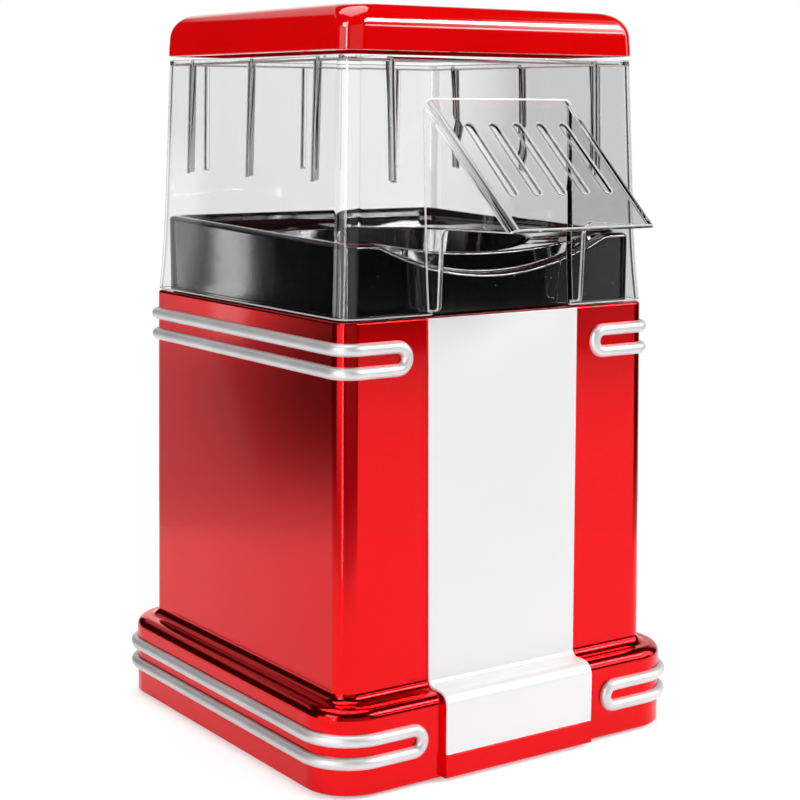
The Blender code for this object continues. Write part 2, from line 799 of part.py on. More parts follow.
def hood():
    obj = hood_walls()
    union(obj, *hood_ribs())
    mouth = box(
        "mouth",
        (0, CHEEK_Y + 0.008, (HOOD_BOTTOM + SPOUT_TOP) / 2 - 0.003),
        (2 * (SPOUT_HALF_WIDTH - SPOUT_WALL / 2), 0.03, SPOUT_TOP - HOOD_BOTTOM + 0.001),
    )
    cut(obj, mouth)
    outer = SPOUT_HALF_WIDTH
    inner = SPOUT_HALF_WIDTH - SPOUT_WALL
    cheeks = [spout_cheek("cheek_left", -outer, -inner), spout_cheek("cheek_right", inner, outer)]
    union(obj, *cheeks, bake(spout_visor()))
    return part(obj, "clear")


def lid_profile():
    """(inset, height) points of the lid's outer skin, from its lower edge to the crown."""
    share = LID_HEIGHT / 0.0176
    return [
        (0.0000, 0.0),
        (0.0002, 0.0060 * share),
        (0.0012, 0.0105 * share),
        (0.0032, 0.0138 * share),
        (0.0065, 0.0160 * share),
        (0.0120, 0.0170 * share),
        (0.0350, 0.0175 * share),
        (0.0560, LID_HEIGHT),
    ]


def lid_half():
    half_x, half_y = hood_half(HOOD_TOP)
    return half_x + LID_OVERHANG, half_y + LID_OVERHANG


def lid():
    half_x, half_y = lid_half()
    rings = []
    for inset, height in lid_profile():
        corner = LID_CORNER + inset * 0.5 if inset < 0.02 else LID_CORNER
        rings.append(ring(half_x - inset, half_y - inset, corner, LID_BOTTOM + height))
    obj = thicken(loft("lid", rings, cap_last=True), LID_WALL)
    rim = HOOD_RIM
    skirt_x, skirt_y = (half - rim - SKIRT_CLEARANCE for half in hood_half(HOOD_TOP))
    corner = HOOD_CORNER - rim
    low = HOOD_TOP - SKIRT_DEPTH
    high = LID_BOTTOM + LID_HEIGHT * 0.80
    skirt_rings = [ring(skirt_x, skirt_y, corner, z) for z in (low, high)]
    skirt = thicken(loft("lid_skirt", skirt_rings), SKIRT_WALL)
    pads = []
    for n, (x, y) in enumerate(((0, -1), (0, 1), (-1, 0), (1, 0))):
        wide, deep = (0.012, 0.004) if y else (0.004, 0.012)
        pad_low = HOOD_TOP + GAP
        pad_high = LID_BOTTOM + LID_HEIGHT * 0.5
        middle = (x * (skirt_x + 0.001), y * (skirt_y + 0.001), (pad_low + pad_high) / 2)
        pads.append(box(f"lid_pad_{n}", middle, (wide, deep, pad_high - pad_low)))
    union(obj, skirt, *pads)
    return part(obj, "red_gloss")


# ---------------------------------------------------------------- deck and popping chamber

def deck_rim(x, y):
    """The rim's height: a slope up to the back, and a scoop in the front edge for the popcorn."""
    half_y = hood_half(DECK_RIM_FRONT)[1]
    level = DECK_RIM_FRONT + (DECK_RIM_BACK - DECK_RIM_FRONT) * (y + half_y) / (2 * half_y)
    if y > -half_y * 0.6 or abs(x) >= DIP_HALF_WIDTH:
        return level
    return DIP_BOTTOM + (level - DIP_BOTTOM) * (x / DIP_HALF_WIDTH) ** 2


def deck_crest(x, y):
    """The inner crest of the scoop, over which popcorn falls to the lip."""
    level = deck_rim(DIP_HALF_WIDTH, y)
    return CREST_BOTTOM + (level - CREST_BOTTOM) * min(1.0, abs(x) / DIP_HALF_WIDTH) ** 2


def in_scoop(x, y):
    return y < -0.045 and abs(x) < DIP_HALF_WIDTH


def deck_ring(half_x, half_y, corner, z):
    """A ring with more points along each side, so that it can follow the scoop and meet a circle."""
    made = []
    points = ring(half_x, half_y, corner, z, steps=3)
    for i, point in enumerate(points):
        made.append(point)
        if i % 4 == 3:
            after = points[(i + 1) % len(points)]
            for step in range(1, SIDE_STOPS + 1):
                x, y = (point.lerp(after, step / (SIDE_STOPS + 1))).xy
                made.append(Vector((x, y, z(x, y) if callable(z) else z)))
    return made


def circle_ring(radius, z):
    """A circle with as many points as a deck ring, in the same order."""
    count = 4 * (4 + SIDE_STOPS)
    start = math.pi / 4 - 1.5 * 2 * math.pi / count
    bearings = [start + 2 * math.pi * i / count for i in range(count)]
    return [Vector((radius * math.cos(bearing), radius * math.sin(bearing), z)) for bearing in bearings]


def deck():
    half_x, half_y = (half - HOOD_WALL - DECK_CLEARANCE for half in hood_half(DECK_RIM_BACK))
    corner = HOOD_CORNER - HOOD_WALL - DECK_CLEARANCE

    def inner(inset, in_front, elsewhere):
        """A ring inside the rim, whose height follows the scoop in front and is even elsewhere."""

        def height(x, y):
            return in_front(x, y) if in_scoop(x, y) else elsewhere

        return deck_ring(half_x - inset, half_y - inset, max(corner, 0.006) + inset * 0.3, height)

    def rim(inset, drop, more=0.0):
        """A ring on the rim, which dips with the scoop."""
        return deck_ring(half_x - inset, half_y - inset, corner + more, lambda x, y: deck_rim(x, y) - drop)

    rings = [
        deck_ring(half_x, half_y, corner, DECK_BOTTOM),
        rim(0.0, 0.0006),
        rim(0.0008, 0.0),
        rim(0.0026, 0.0004, 0.001),
        inner(0.0052, lambda x, y: deck_rim(x, y) + 0.0012, DECK_SHELF + 0.0010),
        inner(CREST_INSET, deck_crest, DECK_SHELF),
        inner(CREST_INSET + 0.0035, lambda x, y: DECK_SHELF - 0.0005, DECK_SHELF - 0.0005),
        circle_ring(CHAMBER_RADIUS + CHAMBER_FLANGE + 0.0022, DECK_LIP + 0.0006),
        circle_ring(CHAMBER_RADIUS + CHAMBER_FLANGE + 0.0012, DECK_LIP),
        circle_ring(CHAMBER_HOLE, DECK_LIP),
    ]
    obj = thicken(loft("deck", rings), DECK_WALL, False)
    bosses = []
    bores = []
    tap = SCREW_SHANK + HOLE_CLEARANCE / 2
    for n, (x, y) in enumerate(deck_screw_places()):
        boss_top = (x, y, DECK_SHELF - 0.0008)
        bosses.append(rod(f"deck_boss_{n}", BOSS_RADIUS, (x, y, DECK_BOTTOM), boss_top, 16))
        bores.append(rod(f"deck_bore_{n}", tap, (x, y, BODY_TOP - 0.002), (x, y, DECK_SHELF - 0.005), 12))
    low = DUCT_TOP - EAR_DROP + GAP
    for n, (x, y) in enumerate(ear_places()):
        bosses.append(rod(f"duct_boss_{n}", BOSS_RADIUS, (x, y, low), (x, y, DECK_LIP + 0.0008), 16))
        bores.append(rod(f"duct_bore_{n}", tap, (x, y, low - 0.002), (x, y, DECK_LIP - 0.0008), 12))
    union(obj, *bosses)
    cut(obj, *bores)
    return part(obj, "black_gloss", 30)


def popping_chamber():
    outer = CHAMBER_RADIUS
    inner = outer - CHAMBER_WALL
    flange = outer + CHAMBER_FLANGE
    low = CHAMBER_BOTTOM
    profile = [
        (0.0, low + 0.0090),
        (0.012, low + 0.0085),
        (inner - 0.010, low + CHAMBER_WALL + 0.0012),
        (inner - 0.003, low + CHAMBER_WALL + 0.0025),
        (inner, low + 0.0080),
        (inner, CHAMBER_TOP),
        (flange, CHAMBER_TOP),
        (flange, CHAMBER_TOP - CHAMBER_WALL),
        (outer, CHAMBER_TOP - CHAMBER_WALL),
        (outer, low + 0.0075),
        (outer - 0.003, low + 0.0015),
        (outer - 0.010, low),
        (0.012, low + 0.0073),
        (0.0, low + 0.0078),
    ]
    obj = bake(turned("popping_chamber", profile))
    weld(obj)
    cutters = []
    middle = low + 0.018
    for n in range(LOUVRE_COUNT):
        bearing = 2 * math.pi * n / LOUVRE_COUNT
        turn = Matrix.Rotation(bearing, 4, "Z") @ Matrix.Rotation(math.radians(35), 4, "X")
        centre = Vector((outer * math.cos(bearing), outer * math.sin(bearing), middle))
        cutters.append(box(f"louvre_{n}", centre, (0.008, LOUVRE_WIDTH, LOUVRE_LENGTH), turn))
    cut(obj, *cutters)
    return part(obj, "aluminium")


# ---------------------------------------------------------------- duct, heater, fan and motor

def ear_places():
    return mirrored_places(EAR_RADIUS * math.sqrt(0.5), EAR_RADIUS * math.sqrt(0.5))


def air_duct():
    outer = DUCT_RADIUS
    inner = outer - DUCT_WALL
    profile = [(outer, DUCT_TOP), (outer, DUCT_BOTTOM), (inner, DUCT_BOTTOM), (inner, DUCT_TOP)]
    obj = bake(turned("air_duct", profile + profile[:1]))
    weld(obj)
    high, low = DUCT_TOP - EAR_DROP, DUCT_BOTTOM
    through, tap = SCREW_SHANK + HOLE_CLEARANCE, SCREW_SHANK + HOLE_CLEARANCE / 2
    ears = []
    holes = []
    for n, (x, y) in enumerate(ear_places()):
        ears.append(rod(f"ear_{n}", EAR_SIZE, (x, y, high - EAR_HEIGHT), (x, y, high), 16))
        holes.append(rod(f"ear_hole_{n}", through, (x, y, high - 2 * EAR_HEIGHT), (x, y, high + 0.002), 12))
        ears.append(rod(f"low_ear_{n}", EAR_SIZE, (x, y, low + GAP), (x, y, low + 2 * EAR_HEIGHT), 16))
        holes.append(rod(f"low_hole_{n}", tap, (x, y, low - 0.002), (x, y, low + 0.008), 12))
    union(obj, *ears)
    cut(obj, *holes, rod("duct_bore", inner, (0, 0, DUCT_BOTTOM - 0.002), (0, 0, DUCT_TOP + 0.002), ROUND))
    return part(obj, "black_matte")


def mica_frame():
    """Two crossed mica cards that carry the heating coil."""
    size = (2 * MICA_HALF_WIDTH, MICA_THICKNESS, HEATER_HEIGHT)
    centre = (0, 0, HEATER_BOTTOM + HEATER_HEIGHT / 2)
    obj = box("mica_frame", centre, size)
    union(obj, box("mica_card", centre, (size[1], size[0], size[2] - 0.0006)))
    return part(obj, "mica")


def heater_coil():
    """Nichrome wire wound round the edges of the mica cards."""
    curve = bpy.data.curves.new("heater_coil", "CURVE")
    curve.dimensions = "3D"
    curve.bevel_depth = COIL_WIRE
    curve.bevel_resolution = 1
    curve.use_fill_caps = True
    spline = curve.splines.new("POLY")
    per_turn = 24
    count = COIL_TURNS * per_turn + 1
    spline.points.add(count - 1)
    radius = MICA_HALF_WIDTH + COIL_WIRE + GAP + 0.0006
    rise = HEATER_HEIGHT - 0.004
    for i, point in enumerate(spline.points):
        bearing = 2 * math.pi * i / per_turn
        z = HEATER_BOTTOM + 0.002 + rise * i / (count - 1)
        point.co = (radius * math.cos(bearing), radius * math.sin(bearing), z, 1.0)
    return part(bake(object_of("heater_coil", curve, CUTTERS)), "wire", 60)


def impeller():
    obj = bake(
        turned(
            "impeller",
            [
                (FAN_HUB - 0.0015, FAN_TOP),
                (FAN_HUB, FAN_TOP - 0.0015),
                (FAN_HUB, FAN_BOTTOM),
                (SHAFT_RADIUS + GAP, FAN_BOTTOM),
                (SHAFT_RADIUS + GAP, FAN_TOP),
                (FAN_HUB - 0.0015, FAN_TOP),
            ],
            24,
        )
    )
    weld(obj)
    start = FAN_HUB - 0.002
    length = FAN_RADIUS - start
    blades = []
    for n in range(BLADE_COUNT):
        turn = Matrix.Rotation(2 * math.pi * n / BLADE_COUNT, 4, "Z")
        pitch = Matrix.Rotation(BLADE_PITCH, 4, "X")
        place = turn @ Matrix.Translation((start + length / 2, 0, 0)) @ pitch
        middle = (0, 0, (FAN_BOTTOM + FAN_TOP) / 2)
        blades.append(box(f"blade_{n}", middle, (length, FAN_HEIGHT, BLADE_THICKNESS), place))
    union(obj, *blades)
    return part(obj, "black_matte")


def motor_can():
    top = MOTOR_TOP
    low = MOTOR_BOTTOM
    bore = SHAFT_RADIUS + SHAFT_CLEARANCE
    profile = [
        (MOTOR_RADIUS - 0.001, top),
        (MOTOR_RADIUS, top - 0.001),
        (MOTOR_RADIUS, low + 0.001),
        (MOTOR_RADIUS - 0.001, low),
        (0.005, low),
        (0.005, low - 0.0015),
        (0.0, low - 0.0015),
        (0.0, top - SHAFT_DEPTH - 0.0005),
        (bore, top - SHAFT_DEPTH - 0.0005),
        (bore, top + 0.0015),
        (0.004, top + 0.0015),
        (0.004, top),
    ]
    obj = bake(turned("motor_can", profile + profile[:1], 28))
    weld(obj)
    taps = [
        rod(f"motor_tap_{n}", MOTOR_SCREW_SHANK + GAP, (x, 0, top - 0.004), (x, 0, top + 0.002), 10)
        for n, x in enumerate(MOTOR_SCREW_PLACES)
    ]
    cut(obj, *taps)
    return part(obj, "steel")


def motor_shaft():
    low, top = (0, 0, MOTOR_TOP - SHAFT_DEPTH), (0, 0, FAN_TOP - 0.001)
    return part(rod("motor_shaft", SHAFT_RADIUS, low, top, 12), "steel")


def motor_bracket():
    """The spider under the duct that holds the motor and lets the air in."""
    low, top = BRACKET_BOTTOM, BRACKET_TOP
    outer, inner = DUCT_RADIUS, DUCT_RADIUS - 0.006
    profile = [(outer, top), (outer, low), (inner, low), (inner, top)]
    obj = bake(turned("motor_bracket", profile + profile[:1]))
    weld(obj)
    hub = rod("bracket_hub", BRACKET_HUB, (0, 0, low + 0.0001), (0, 0, top - 0.0001), 28)
    arms = []
    length = 2 * (DUCT_RADIUS - 0.003)
    for n in range(2):
        turn = Matrix.Rotation(math.pi / 2 * n + math.pi / 4, 4, "Z")
        size = (length, 0.008, BRACKET_THICKNESS - 0.0004 * (n + 1))
        arms.append(box(f"arm_{n}", (0, 0, (low + top) / 2), size, turn))
    ears = []
    holes = [rod("shaft_hole", 0.0045, (0, 0, low - 0.002), (0, 0, top + 0.002), 20)]
    through = SCREW_SHANK + HOLE_CLEARANCE
    for n, (x, y) in enumerate(ear_places()):
        ears.append(rod(f"bracket_ear_{n}", EAR_SIZE, (x, y, low + 0.0003), (x, y, top - 0.0003), 16))
        holes.append(rod(f"bracket_hole_{n}", through, (x, y, low - 0.002), (x, y, top + 0.002), 12))
    for n, x in enumerate(MOTOR_SCREW_PLACES):
        under, over = (x, 0, low - 0.002), (x, 0, top + 0.002)
        holes.append(rod(f"motor_hole_{n}", MOTOR_SCREW_SHANK + GAP, under, over, 10))
    union(obj, hub, *arms, *ears)
    cut(obj, *holes)
    return part(obj, "black_matte")


# ---------------------------------------------------------------- electrics

def rectifier_board():
    return part(box("rectifier_board", (0, 0, BOARD_Z), (0.034, 0.026, BOARD_THICKNESS)), "board")


def board_parts():
    """The diode bridge and the capacitor under the board."""
    z = BOARD_Z - BOARD_THICKNESS / 2 - GAP
    diodes = [
        rod(f"bridge_{n}", 0.0014, (x - 0.0025, 0.008, z - 0.0015), (x + 0.0025, 0.008, z - 0.0015), 10)
        for n, x in enumerate((-0.012, -0.004, 0.004, 0.012))
    ]
    numbered("diode", diodes, "black_matte")
    can_z = z - 0.0045
    part(rod("smoothing_capacitor", 0.004, (-0.004, -0.005, can_z), (0.008, -0.005, can_z), 16), "aluminium")


def thermostat():
    """The cut-out disc on the duct's back wall, with its two blade terminals."""
    y = DUCT_RADIUS + GAP
    z = THERMOSTAT_Z
    obj = rod("thermostat", 0.008, (0, y, z), (0, y + 0.0075, z), 20)
    terminals = []
    for n, x in enumerate((-0.0045, 0.0045)):
        terminals.append(box(f"terminal_{n}", (x, y + 0.011, z), (0.0008, 0.009, 0.0045)))
    ears = box("thermostat_ears", (0, y + 0.0010, z), (0.024, 0.0010, 0.007))
    union(obj, ears, *terminals)
    return part(obj, "black_matte")


def thermal_fuse():
    y = DUCT_RADIUS + THERMAL_FUSE_RADIUS + 0.0005
    ends = [(side * 0.0055, y, THERMAL_FUSE_Z) for side in (-1, 1)]
    return part(rod("thermal_fuse", THERMAL_FUSE_RADIUS, *ends, 12), "aluminium")


def switch_housing():
    """The switch's body, with the bezel outside the case's rear wall."""
    _, rear = body_half(SWITCH_Z - 0.012)
    outside = rear + GAP
    half_x, half_z = SWITCH_HALF_WIDTH, SWITCH_HALF_HEIGHT
    depth = 0.016
    middle = (SWITCH_X, outside - depth / 2 + 0.0005, SWITCH_Z)
    obj = box("switch_housing", middle, (2 * half_x, depth, 2 * half_z))
    size = (2 * half_x + 0.003, 0.0020, 2 * half_z + 0.003)
    bezel = bevel(box("switch_bezel", (SWITCH_X, outside + 0.0010, SWITCH_Z), size), 0.0006)
    size = (2 * (half_x - SWITCH_WALL), 0.016, 2 * (half_z - SWITCH_WALL))
    cavity = box("switch_cavity", (SWITCH_X, outside - 0.003, SWITCH_Z), size)
    blades = [
        box(f"blade_terminal_{n}", (SWITCH_X, outside - depth - 0.003, SWITCH_Z + z), (0.005, 0.009, 0.0008))
        for n, z in enumerate((-0.004, 0.004))
    ]
    union(obj, bake(bezel), *blades)
    cut(obj, cavity)
    return part(obj, "black_matte")


def rocker_axis():
    """The rocker's pivot, which lies along X."""
    _, rear = body_half(SWITCH_Z - 0.012)
    return Vector((SWITCH_X, rear - 0.0012, SWITCH_Z))


def switch_rocker():
    """The rocker, modelled flat about its own pivot and then tipped to its off position."""
    half_z = SWITCH_HALF_HEIGHT - SWITCH_WALL - 0.0013
    half_x = SWITCH_HALF_WIDTH - SWITCH_WALL - GAP - 0.0002
    lower = [(-0.0030, -half_z * 0.62), (0.0028, -half_z), (0.0062, -half_z)]
    upper = [(y, -z) for y, z in reversed(lower)]
    outline = rounded(lower + [(0.0048, 0.0)] + upper, [0, 0, 0.0008, 0, 0.0008, 0, 0], steps=2)
    obj = side_plate("switch_rocker", outline, -half_x, half_x)
    obj.data.transform(Matrix.Rotation(-ROCKER_TILT, 4, "X"))
    obj.location = rocker_axis()
    return part(obj, "black_gloss", 30)


def cord_gland():
    """The empty bush that a mains cord passes through."""
    _, rear = body_half(GLAND_Z - 0.01)
    outside = rear + GAP + 0.0002
    profile = [
        (GLAND_BORE, 0.0030),
        (GLAND_RADIUS + 0.0010, 0.0030),
        (GLAND_RADIUS + 0.0020, 0.0020),
        (GLAND_RADIUS + 0.0020, 0.0),
        (GLAND_RADIUS, 0.0),
        (GLAND_RADIUS, -0.0100),
        (GLAND_BORE, -0.0100),
        (GLAND_BORE, 0.0030),
    ]
    obj = bake(turned("cord_gland", profile, 24))
    weld(obj)
    obj.data.transform(Matrix.Rotation(-math.pi / 2, 4, "X"))
    obj.location = (GLAND_X, outside, GLAND_Z)
    return part(obj, "rubber")


def tube(name, radius, points):
    """A wire through hand-chosen points, smoothed by a Catmull-Rom curve."""
    curve = bpy.data.curves.new(name, "CURVE")
    curve.dimensions = "3D"
    curve.bevel_depth = radius
    curve.bevel_resolution = 1
    curve.use_fill_caps = True
    knots = [Vector(point) for point in points]
    knots = [knots[0] * 2 - knots[1]] + knots + [knots[-1] * 2 - knots[-2]]
    smooth = []
    for a, b, c, d in zip(knots, knots[1:], knots[2:], knots[3:]):
        square = 2 * a - 5 * b + 4 * c - d
        cube = 3 * b - a - 3 * c + d
        for step in range(5):
            t = step / 5
            smooth.append(0.5 * (2 * b + (c - a) * t + square * t**2 + cube * t**3))
    smooth.append(knots[-2])
    spline = curve.splines.new("POLY")
    spline.points.add(len(smooth) - 1)
    for point, place in zip(spline.points, smooth):
        point.co = (*place, 1.0)
    return bake(object_of(name, curve, CUTTERS))


def lead_wires():
    """The insulated leads between the gland, the switch, the cut-out and the motor board."""
    _, rear = body_half(SWITCH_Z)
    blade_y = rear - 0.0252
    low = SWITCH_Z - 0.004
    high = SWITCH_Z + 0.004
    stat_y = DUCT_RADIUS + 0.0165
    to_switch = [
        (GLAND_X + 0.002, rear - 0.0115, GLAND_Z - 0.001),
        (-0.018, 0.062, 0.050),
        (0.006, 0.058, 0.050),
        (0.024, 0.053, 0.062),
        (SWITCH_X, blade_y, low),
    ]
    to_thermostat = [
        (SWITCH_X, blade_y, high),
        (0.030, 0.058, 0.100),
        (0.014, 0.064, 0.125),
        (0.0065, stat_y + 0.002, 0.142),
        (0.0060, stat_y, THERMOSTAT_Z),
    ]
    to_board = [
        (GLAND_X - 0.002, rear - 0.0115, GLAND_Z - 0.001),
        (-0.034, 0.055, 0.040),
        (-0.028, 0.036, 0.022),
        (-0.0195, 0.010, 0.0185),
    ]
    routes = (to_switch, to_thermostat, to_board)
    numbered("lead_wire", [tube(f"lead_{n}", 0.0011, route) for n, route in enumerate(routes)], "insulation")


# ---------------------------------------------------------------- underside and fasteners

def bottom_cover():
    margin = CASE_WALL + 0.0005
    half_x, half_y = PLINTH_HALF_X - margin, PLINTH_HALF_Y - margin
    corner = PLINTH_CORNER - margin
    rings = [ring(half_x, half_y, corner, COVER_BOTTOM), ring(half_x, half_y, corner, COVER_TOP)]
    obj = loft("bottom_cover", rings, cap_first=True, cap_last=True)
    cutters = []
    for n, (x, y) in enumerate(mirrored_places(POST_X, POST_Y)):
        cutters.append(rod(f"cover_hole_{n}", SCREW_SHANK + HOLE_CLEARANCE, (x, y, 0), (x, y, 0.01), 12))
    for n, (x, y) in enumerate(mirrored_places(FOOT_X, FOOT_Y)):
        cutters.append(rod(f"foot_hole_{n}", 0.0025 + GAP, (x, y, 0), (x, y, 0.01), 12))
    rows = 9
    for n in range(rows):
        y = (n - (rows - 1) / 2) * 0.0075
        half = math.sqrt(0.038**2 - y**2)
        cutters.append(box(f"vent_{n}", (0, y, COVER_BOTTOM), (2 * half, 0.0035, 0.02)))
    cut(obj, *cutters)
    return part(obj, "black_matte")


def feet():
    """Push-in rubber feet: a pad, a stem through the cover, and a barb above it."""
    names = ("front_left", "rear_left", "front_right", "rear_right")
    under = COVER_BOTTOM - GAP
    over = COVER_TOP + GAP
    for name, (x, y) in zip(names, mirrored_places(FOOT_X, FOOT_Y)):
        profile = [
            (0.0, over + 0.0030),
            (0.0012, over + 0.0030),
            (0.0036, over),
            (0.0025, over),
            (0.0025, under),
            (FOOT_RADIUS, under),
            (FOOT_RADIUS, 0.0004),
            (FOOT_RADIUS - 0.0004, 0.0),
            (0.0, 0.0),
        ]
        obj = bake(turned(f"foot_{name}", profile, 24))
        weld(obj)
        obj.location = (x, y, 0)
        part(obj, "rubber")


def screw(name, x, y, seat, length, shank=SCREW_SHANK, head=SCREW_HEAD, up=1):
    """A pan-head screw: its head is below seat, and its shank goes up, or the other way about."""
    crown = -GAP - SCREW_HEAD_HEIGHT
    profile = [(0.0, length), (shank * 0.4, length), (shank, length - shank), (shank, -GAP), (head, -GAP)]
    profile += [(head, -GAP - SCREW_HEAD_HEIGHT / 2), (head * 0.6, crown), (0.0, crown)]
    if up < 0:
        profile = [(radius, -z) for radius, z in reversed(profile)]
    obj = bake(turned(name, profile, 12))
    weld(obj)
    obj.data.transform(Matrix.Translation((x, y, seat)))
    return obj


def fasteners():
    sets = (
        # name, places, seat, length
        ("cover_screw", mirrored_places(POST_X, POST_Y), COVER_BOTTOM, 0.014),
        ("deck_screw", deck_screw_places(), CASE_UNDERSIDE, 0.011),
        ("duct_screw", ear_places(), DUCT_TOP - EAR_DROP - EAR_HEIGHT, 0.0105),
        ("bracket_screw", ear_places(), BRACKET_BOTTOM + 0.0003, 0.010),
    )
    for name, places, seat, length in sets:
        screws = [screw(f"{name}_at_{n}", x, y, seat, length) for n, (x, y) in enumerate(places)]
        numbered(name, screws, "steel")
    motor_set = [
        screw(f"motor_screw_at_{n}", x, 0, BRACKET_TOP, 0.0062, shank=MOTOR_SCREW_SHANK, head=0.0018, up=-1)
        for n, x in enumerate(MOTOR_SCREW_PLACES)
    ]
    numbered("motor_screw", motor_set, "steel")


# ---------------------------------------------------------------- build

def build():
    body_shell()
    front_panel()
    upper_trim()
    lower_trim()
    hood()
    lid()
    deck()
    popping_chamber()
    air_duct()
    mica_frame()
    heater_coil()
    impeller()
    motor_can()
    motor_shaft()
    motor_bracket()
    rectifier_board()
    board_parts()
    thermostat()
    thermal_fuse()
    switch_housing()
    switch_rocker()
    cord_gland()
    lead_wires()
    bottom_cover()
    feet()
    fasteners()
    for obj in list(PARTS.objects) + list(CUTTERS.objects):
        obj.location.y += FRAME_SHIFT


clear_scene()
PARTS = collection("popcorn_maker")
CUTTERS = collection("cutters")
build()
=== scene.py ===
"""The looks of the popcorn maker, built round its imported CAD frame.

Metres, +Z up. The front faces -Y. Shapes are drawn round the fan's axis and then slid back by SHIFT
into the frame.
"""

import json
import math

import bmesh
import bpy
from mathutils import Matrix, Vector


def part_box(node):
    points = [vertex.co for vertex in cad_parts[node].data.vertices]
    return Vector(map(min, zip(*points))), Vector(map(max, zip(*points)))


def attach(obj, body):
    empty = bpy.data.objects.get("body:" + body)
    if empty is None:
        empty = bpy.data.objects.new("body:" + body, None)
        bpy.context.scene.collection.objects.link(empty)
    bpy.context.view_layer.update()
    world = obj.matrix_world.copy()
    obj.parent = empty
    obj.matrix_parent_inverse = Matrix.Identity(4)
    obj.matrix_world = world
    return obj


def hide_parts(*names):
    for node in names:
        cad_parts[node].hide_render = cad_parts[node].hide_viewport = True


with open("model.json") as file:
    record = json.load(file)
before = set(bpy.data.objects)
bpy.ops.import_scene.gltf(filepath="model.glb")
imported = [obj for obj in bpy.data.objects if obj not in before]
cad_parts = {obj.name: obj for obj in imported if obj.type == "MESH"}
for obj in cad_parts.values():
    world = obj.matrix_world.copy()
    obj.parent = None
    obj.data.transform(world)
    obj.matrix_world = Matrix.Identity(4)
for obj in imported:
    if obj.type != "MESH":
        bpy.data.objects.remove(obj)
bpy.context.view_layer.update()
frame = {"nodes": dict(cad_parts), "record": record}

# ---- The same sizes as the CAD ----
GAP = 0.0003
FOOT_HEIGHT = 0.0015
CASE_WALL = 0.0025
PLINTH_HALF_X = 0.0882
PLINTH_HALF_Y = 0.0898
PLINTH_CORNER = 0.020
PLINTH_TOP = 0.0355
PLINTH_SHOULDER = 0.0045
BODY_HALF_X = 0.0777
BODY_HALF_Y = 0.0795
BODY_CORNER = 0.0075
BODY_FILLET = 0.004
BODY_DRAFT = math.radians(0.69)
BODY_TOP = 0.1832
BODY_TOP_EDGE = 0.0012
CASE_FLANGE = 0.011

PANEL_HALF_WIDTH = 0.037
PANEL_OUT = 0.0011  # the panel's outer face from the case: a gap and its 0.8 mm plate
PANEL_BOTTOM = 0.0114
PAD_PROUD = 0.0022
PAD_HALF_WIDTH = PANEL_HALF_WIDTH + GAP
LIP_PROUD = PAD_PROUD + PANEL_OUT

TRIM_RADIUS = 0.0025
TRIM_PITCH = 0.009
TRIM_END_X = 0.0515
UPPER_TRIM_Z = 0.1683
LOWER_TRIM_Z = 0.0192

HOOD_BOTTOM = BODY_TOP + 0.0006
HOOD_TOP = 0.2825
HOOD_WALL = 0.002
HOOD_INSET = 0.0012
HOOD_TAPER = math.radians(2.09)
HOOD_FLARE = 0.0010
HOOD_FLARE_HEIGHT = 0.035
HOOD_CORNER = 0.0075
HOOD_RIM = 0.0045
RIB_POSITIONS = (-0.050, 0.0, 0.050)
RIB_WIDTH = 0.0018
RIB_BOTTOM = 0.2352
SPOUT_HALF_WIDTH = 0.0365
SPOUT_WALL = 0.002
SPOUT_TOP = 0.2662
SPOUT_LIP_HALF_WIDTH = 0.0345
SPOUT_ROUND = 0.0036
LIP_Y = -0.1270
LIP_Z = 0.2192
CHEEK_Y = -0.0830
CHEEK_TOP = 0.2172
CHEEK_BOTTOM = 0.1856
SLOT_PITCH = 0.0115
SLOT_COUNT = 5
SLOT_WIDTH = 0.0034
SLOT_START_Y = -0.0850
SLOT_END_Y = -0.1120

LID_BOTTOM = HOOD_TOP + 0.0015
LID_HEIGHT = 0.0176
LID_OVERHANG = 0.0006
LID_WALL = 0.0022
LID_CORNER = 0.0085

DECK_WALL = 0.0018
DECK_CLEARANCE = 0.0012
DECK_BOTTOM = BODY_TOP + GAP
DECK_RIM_FRONT = 0.2118
DECK_RIM_BACK = 0.2160
DECK_LIP = 0.1945
DIP_HALF_WIDTH = 0.057
DIP_BOTTOM = 0.1985
CHAMBER_RADIUS = 0.0450
CHAMBER_FLANGE = 0.0040
CHAMBER_HOLE = CHAMBER_RADIUS + 0.0008

# ---- Sizes that the looks set for themselves ----
TIGHT_GAP = 0.0002  # narrower than GAP, for faces that nearly meet
FOOT_EDGE = 0.0005  # chamfer round the plinth's lower edge
PANEL_BACK = 0.00004  # the panel's inner face from the case
PANEL_EDGE = 0.00030
WINDOW_WIDTH, WINDOW_HEIGHT = 0.0134, 0.0194  # the rocker switch's hole
GLAND_HOLE_RADIUS = 0.0062
CUT_REACH = 0.02  # how far cutters run past what they cut

TRIM_LIFT = 0.12  # of the trim's radius: its round part stands this far off the case
TRIM_FOOT = 0.10  # of the trim's radius: how far its foot reaches down from there

RIB_DEPTH = 0.0022
BACK_RIB_DEPTH = 0.0011
RIB_OVERLAP = 0.001  # added to a rib's depth, half at each face
SPOUT_BITE = HOOD_WALL * 0.6  # how far the spout's root starts inside the hood's wall
SPOUT_BACK_Y = -0.066  # how far back the space inside the spout reaches
HOOD_EDGE = 0.0005

LID_RIM_EDGE = 0.0003
LID_SIDE = 0.0062  # height of the lid's straight side
SHOULDER_IN, SHOULDER_UP = 0.0085, 0.0112
CROWN_IN = 0.046
CORNER_GROWTH = 0.35  # the plan's corners grow by this share of the inset, up to an inset of GROWTH_END
GROWTH_END = 0.012
LEAST_CORNER = 0.002
SKIRT_CLEARANCE = 0.001
SKIRT_WALL = 0.0016

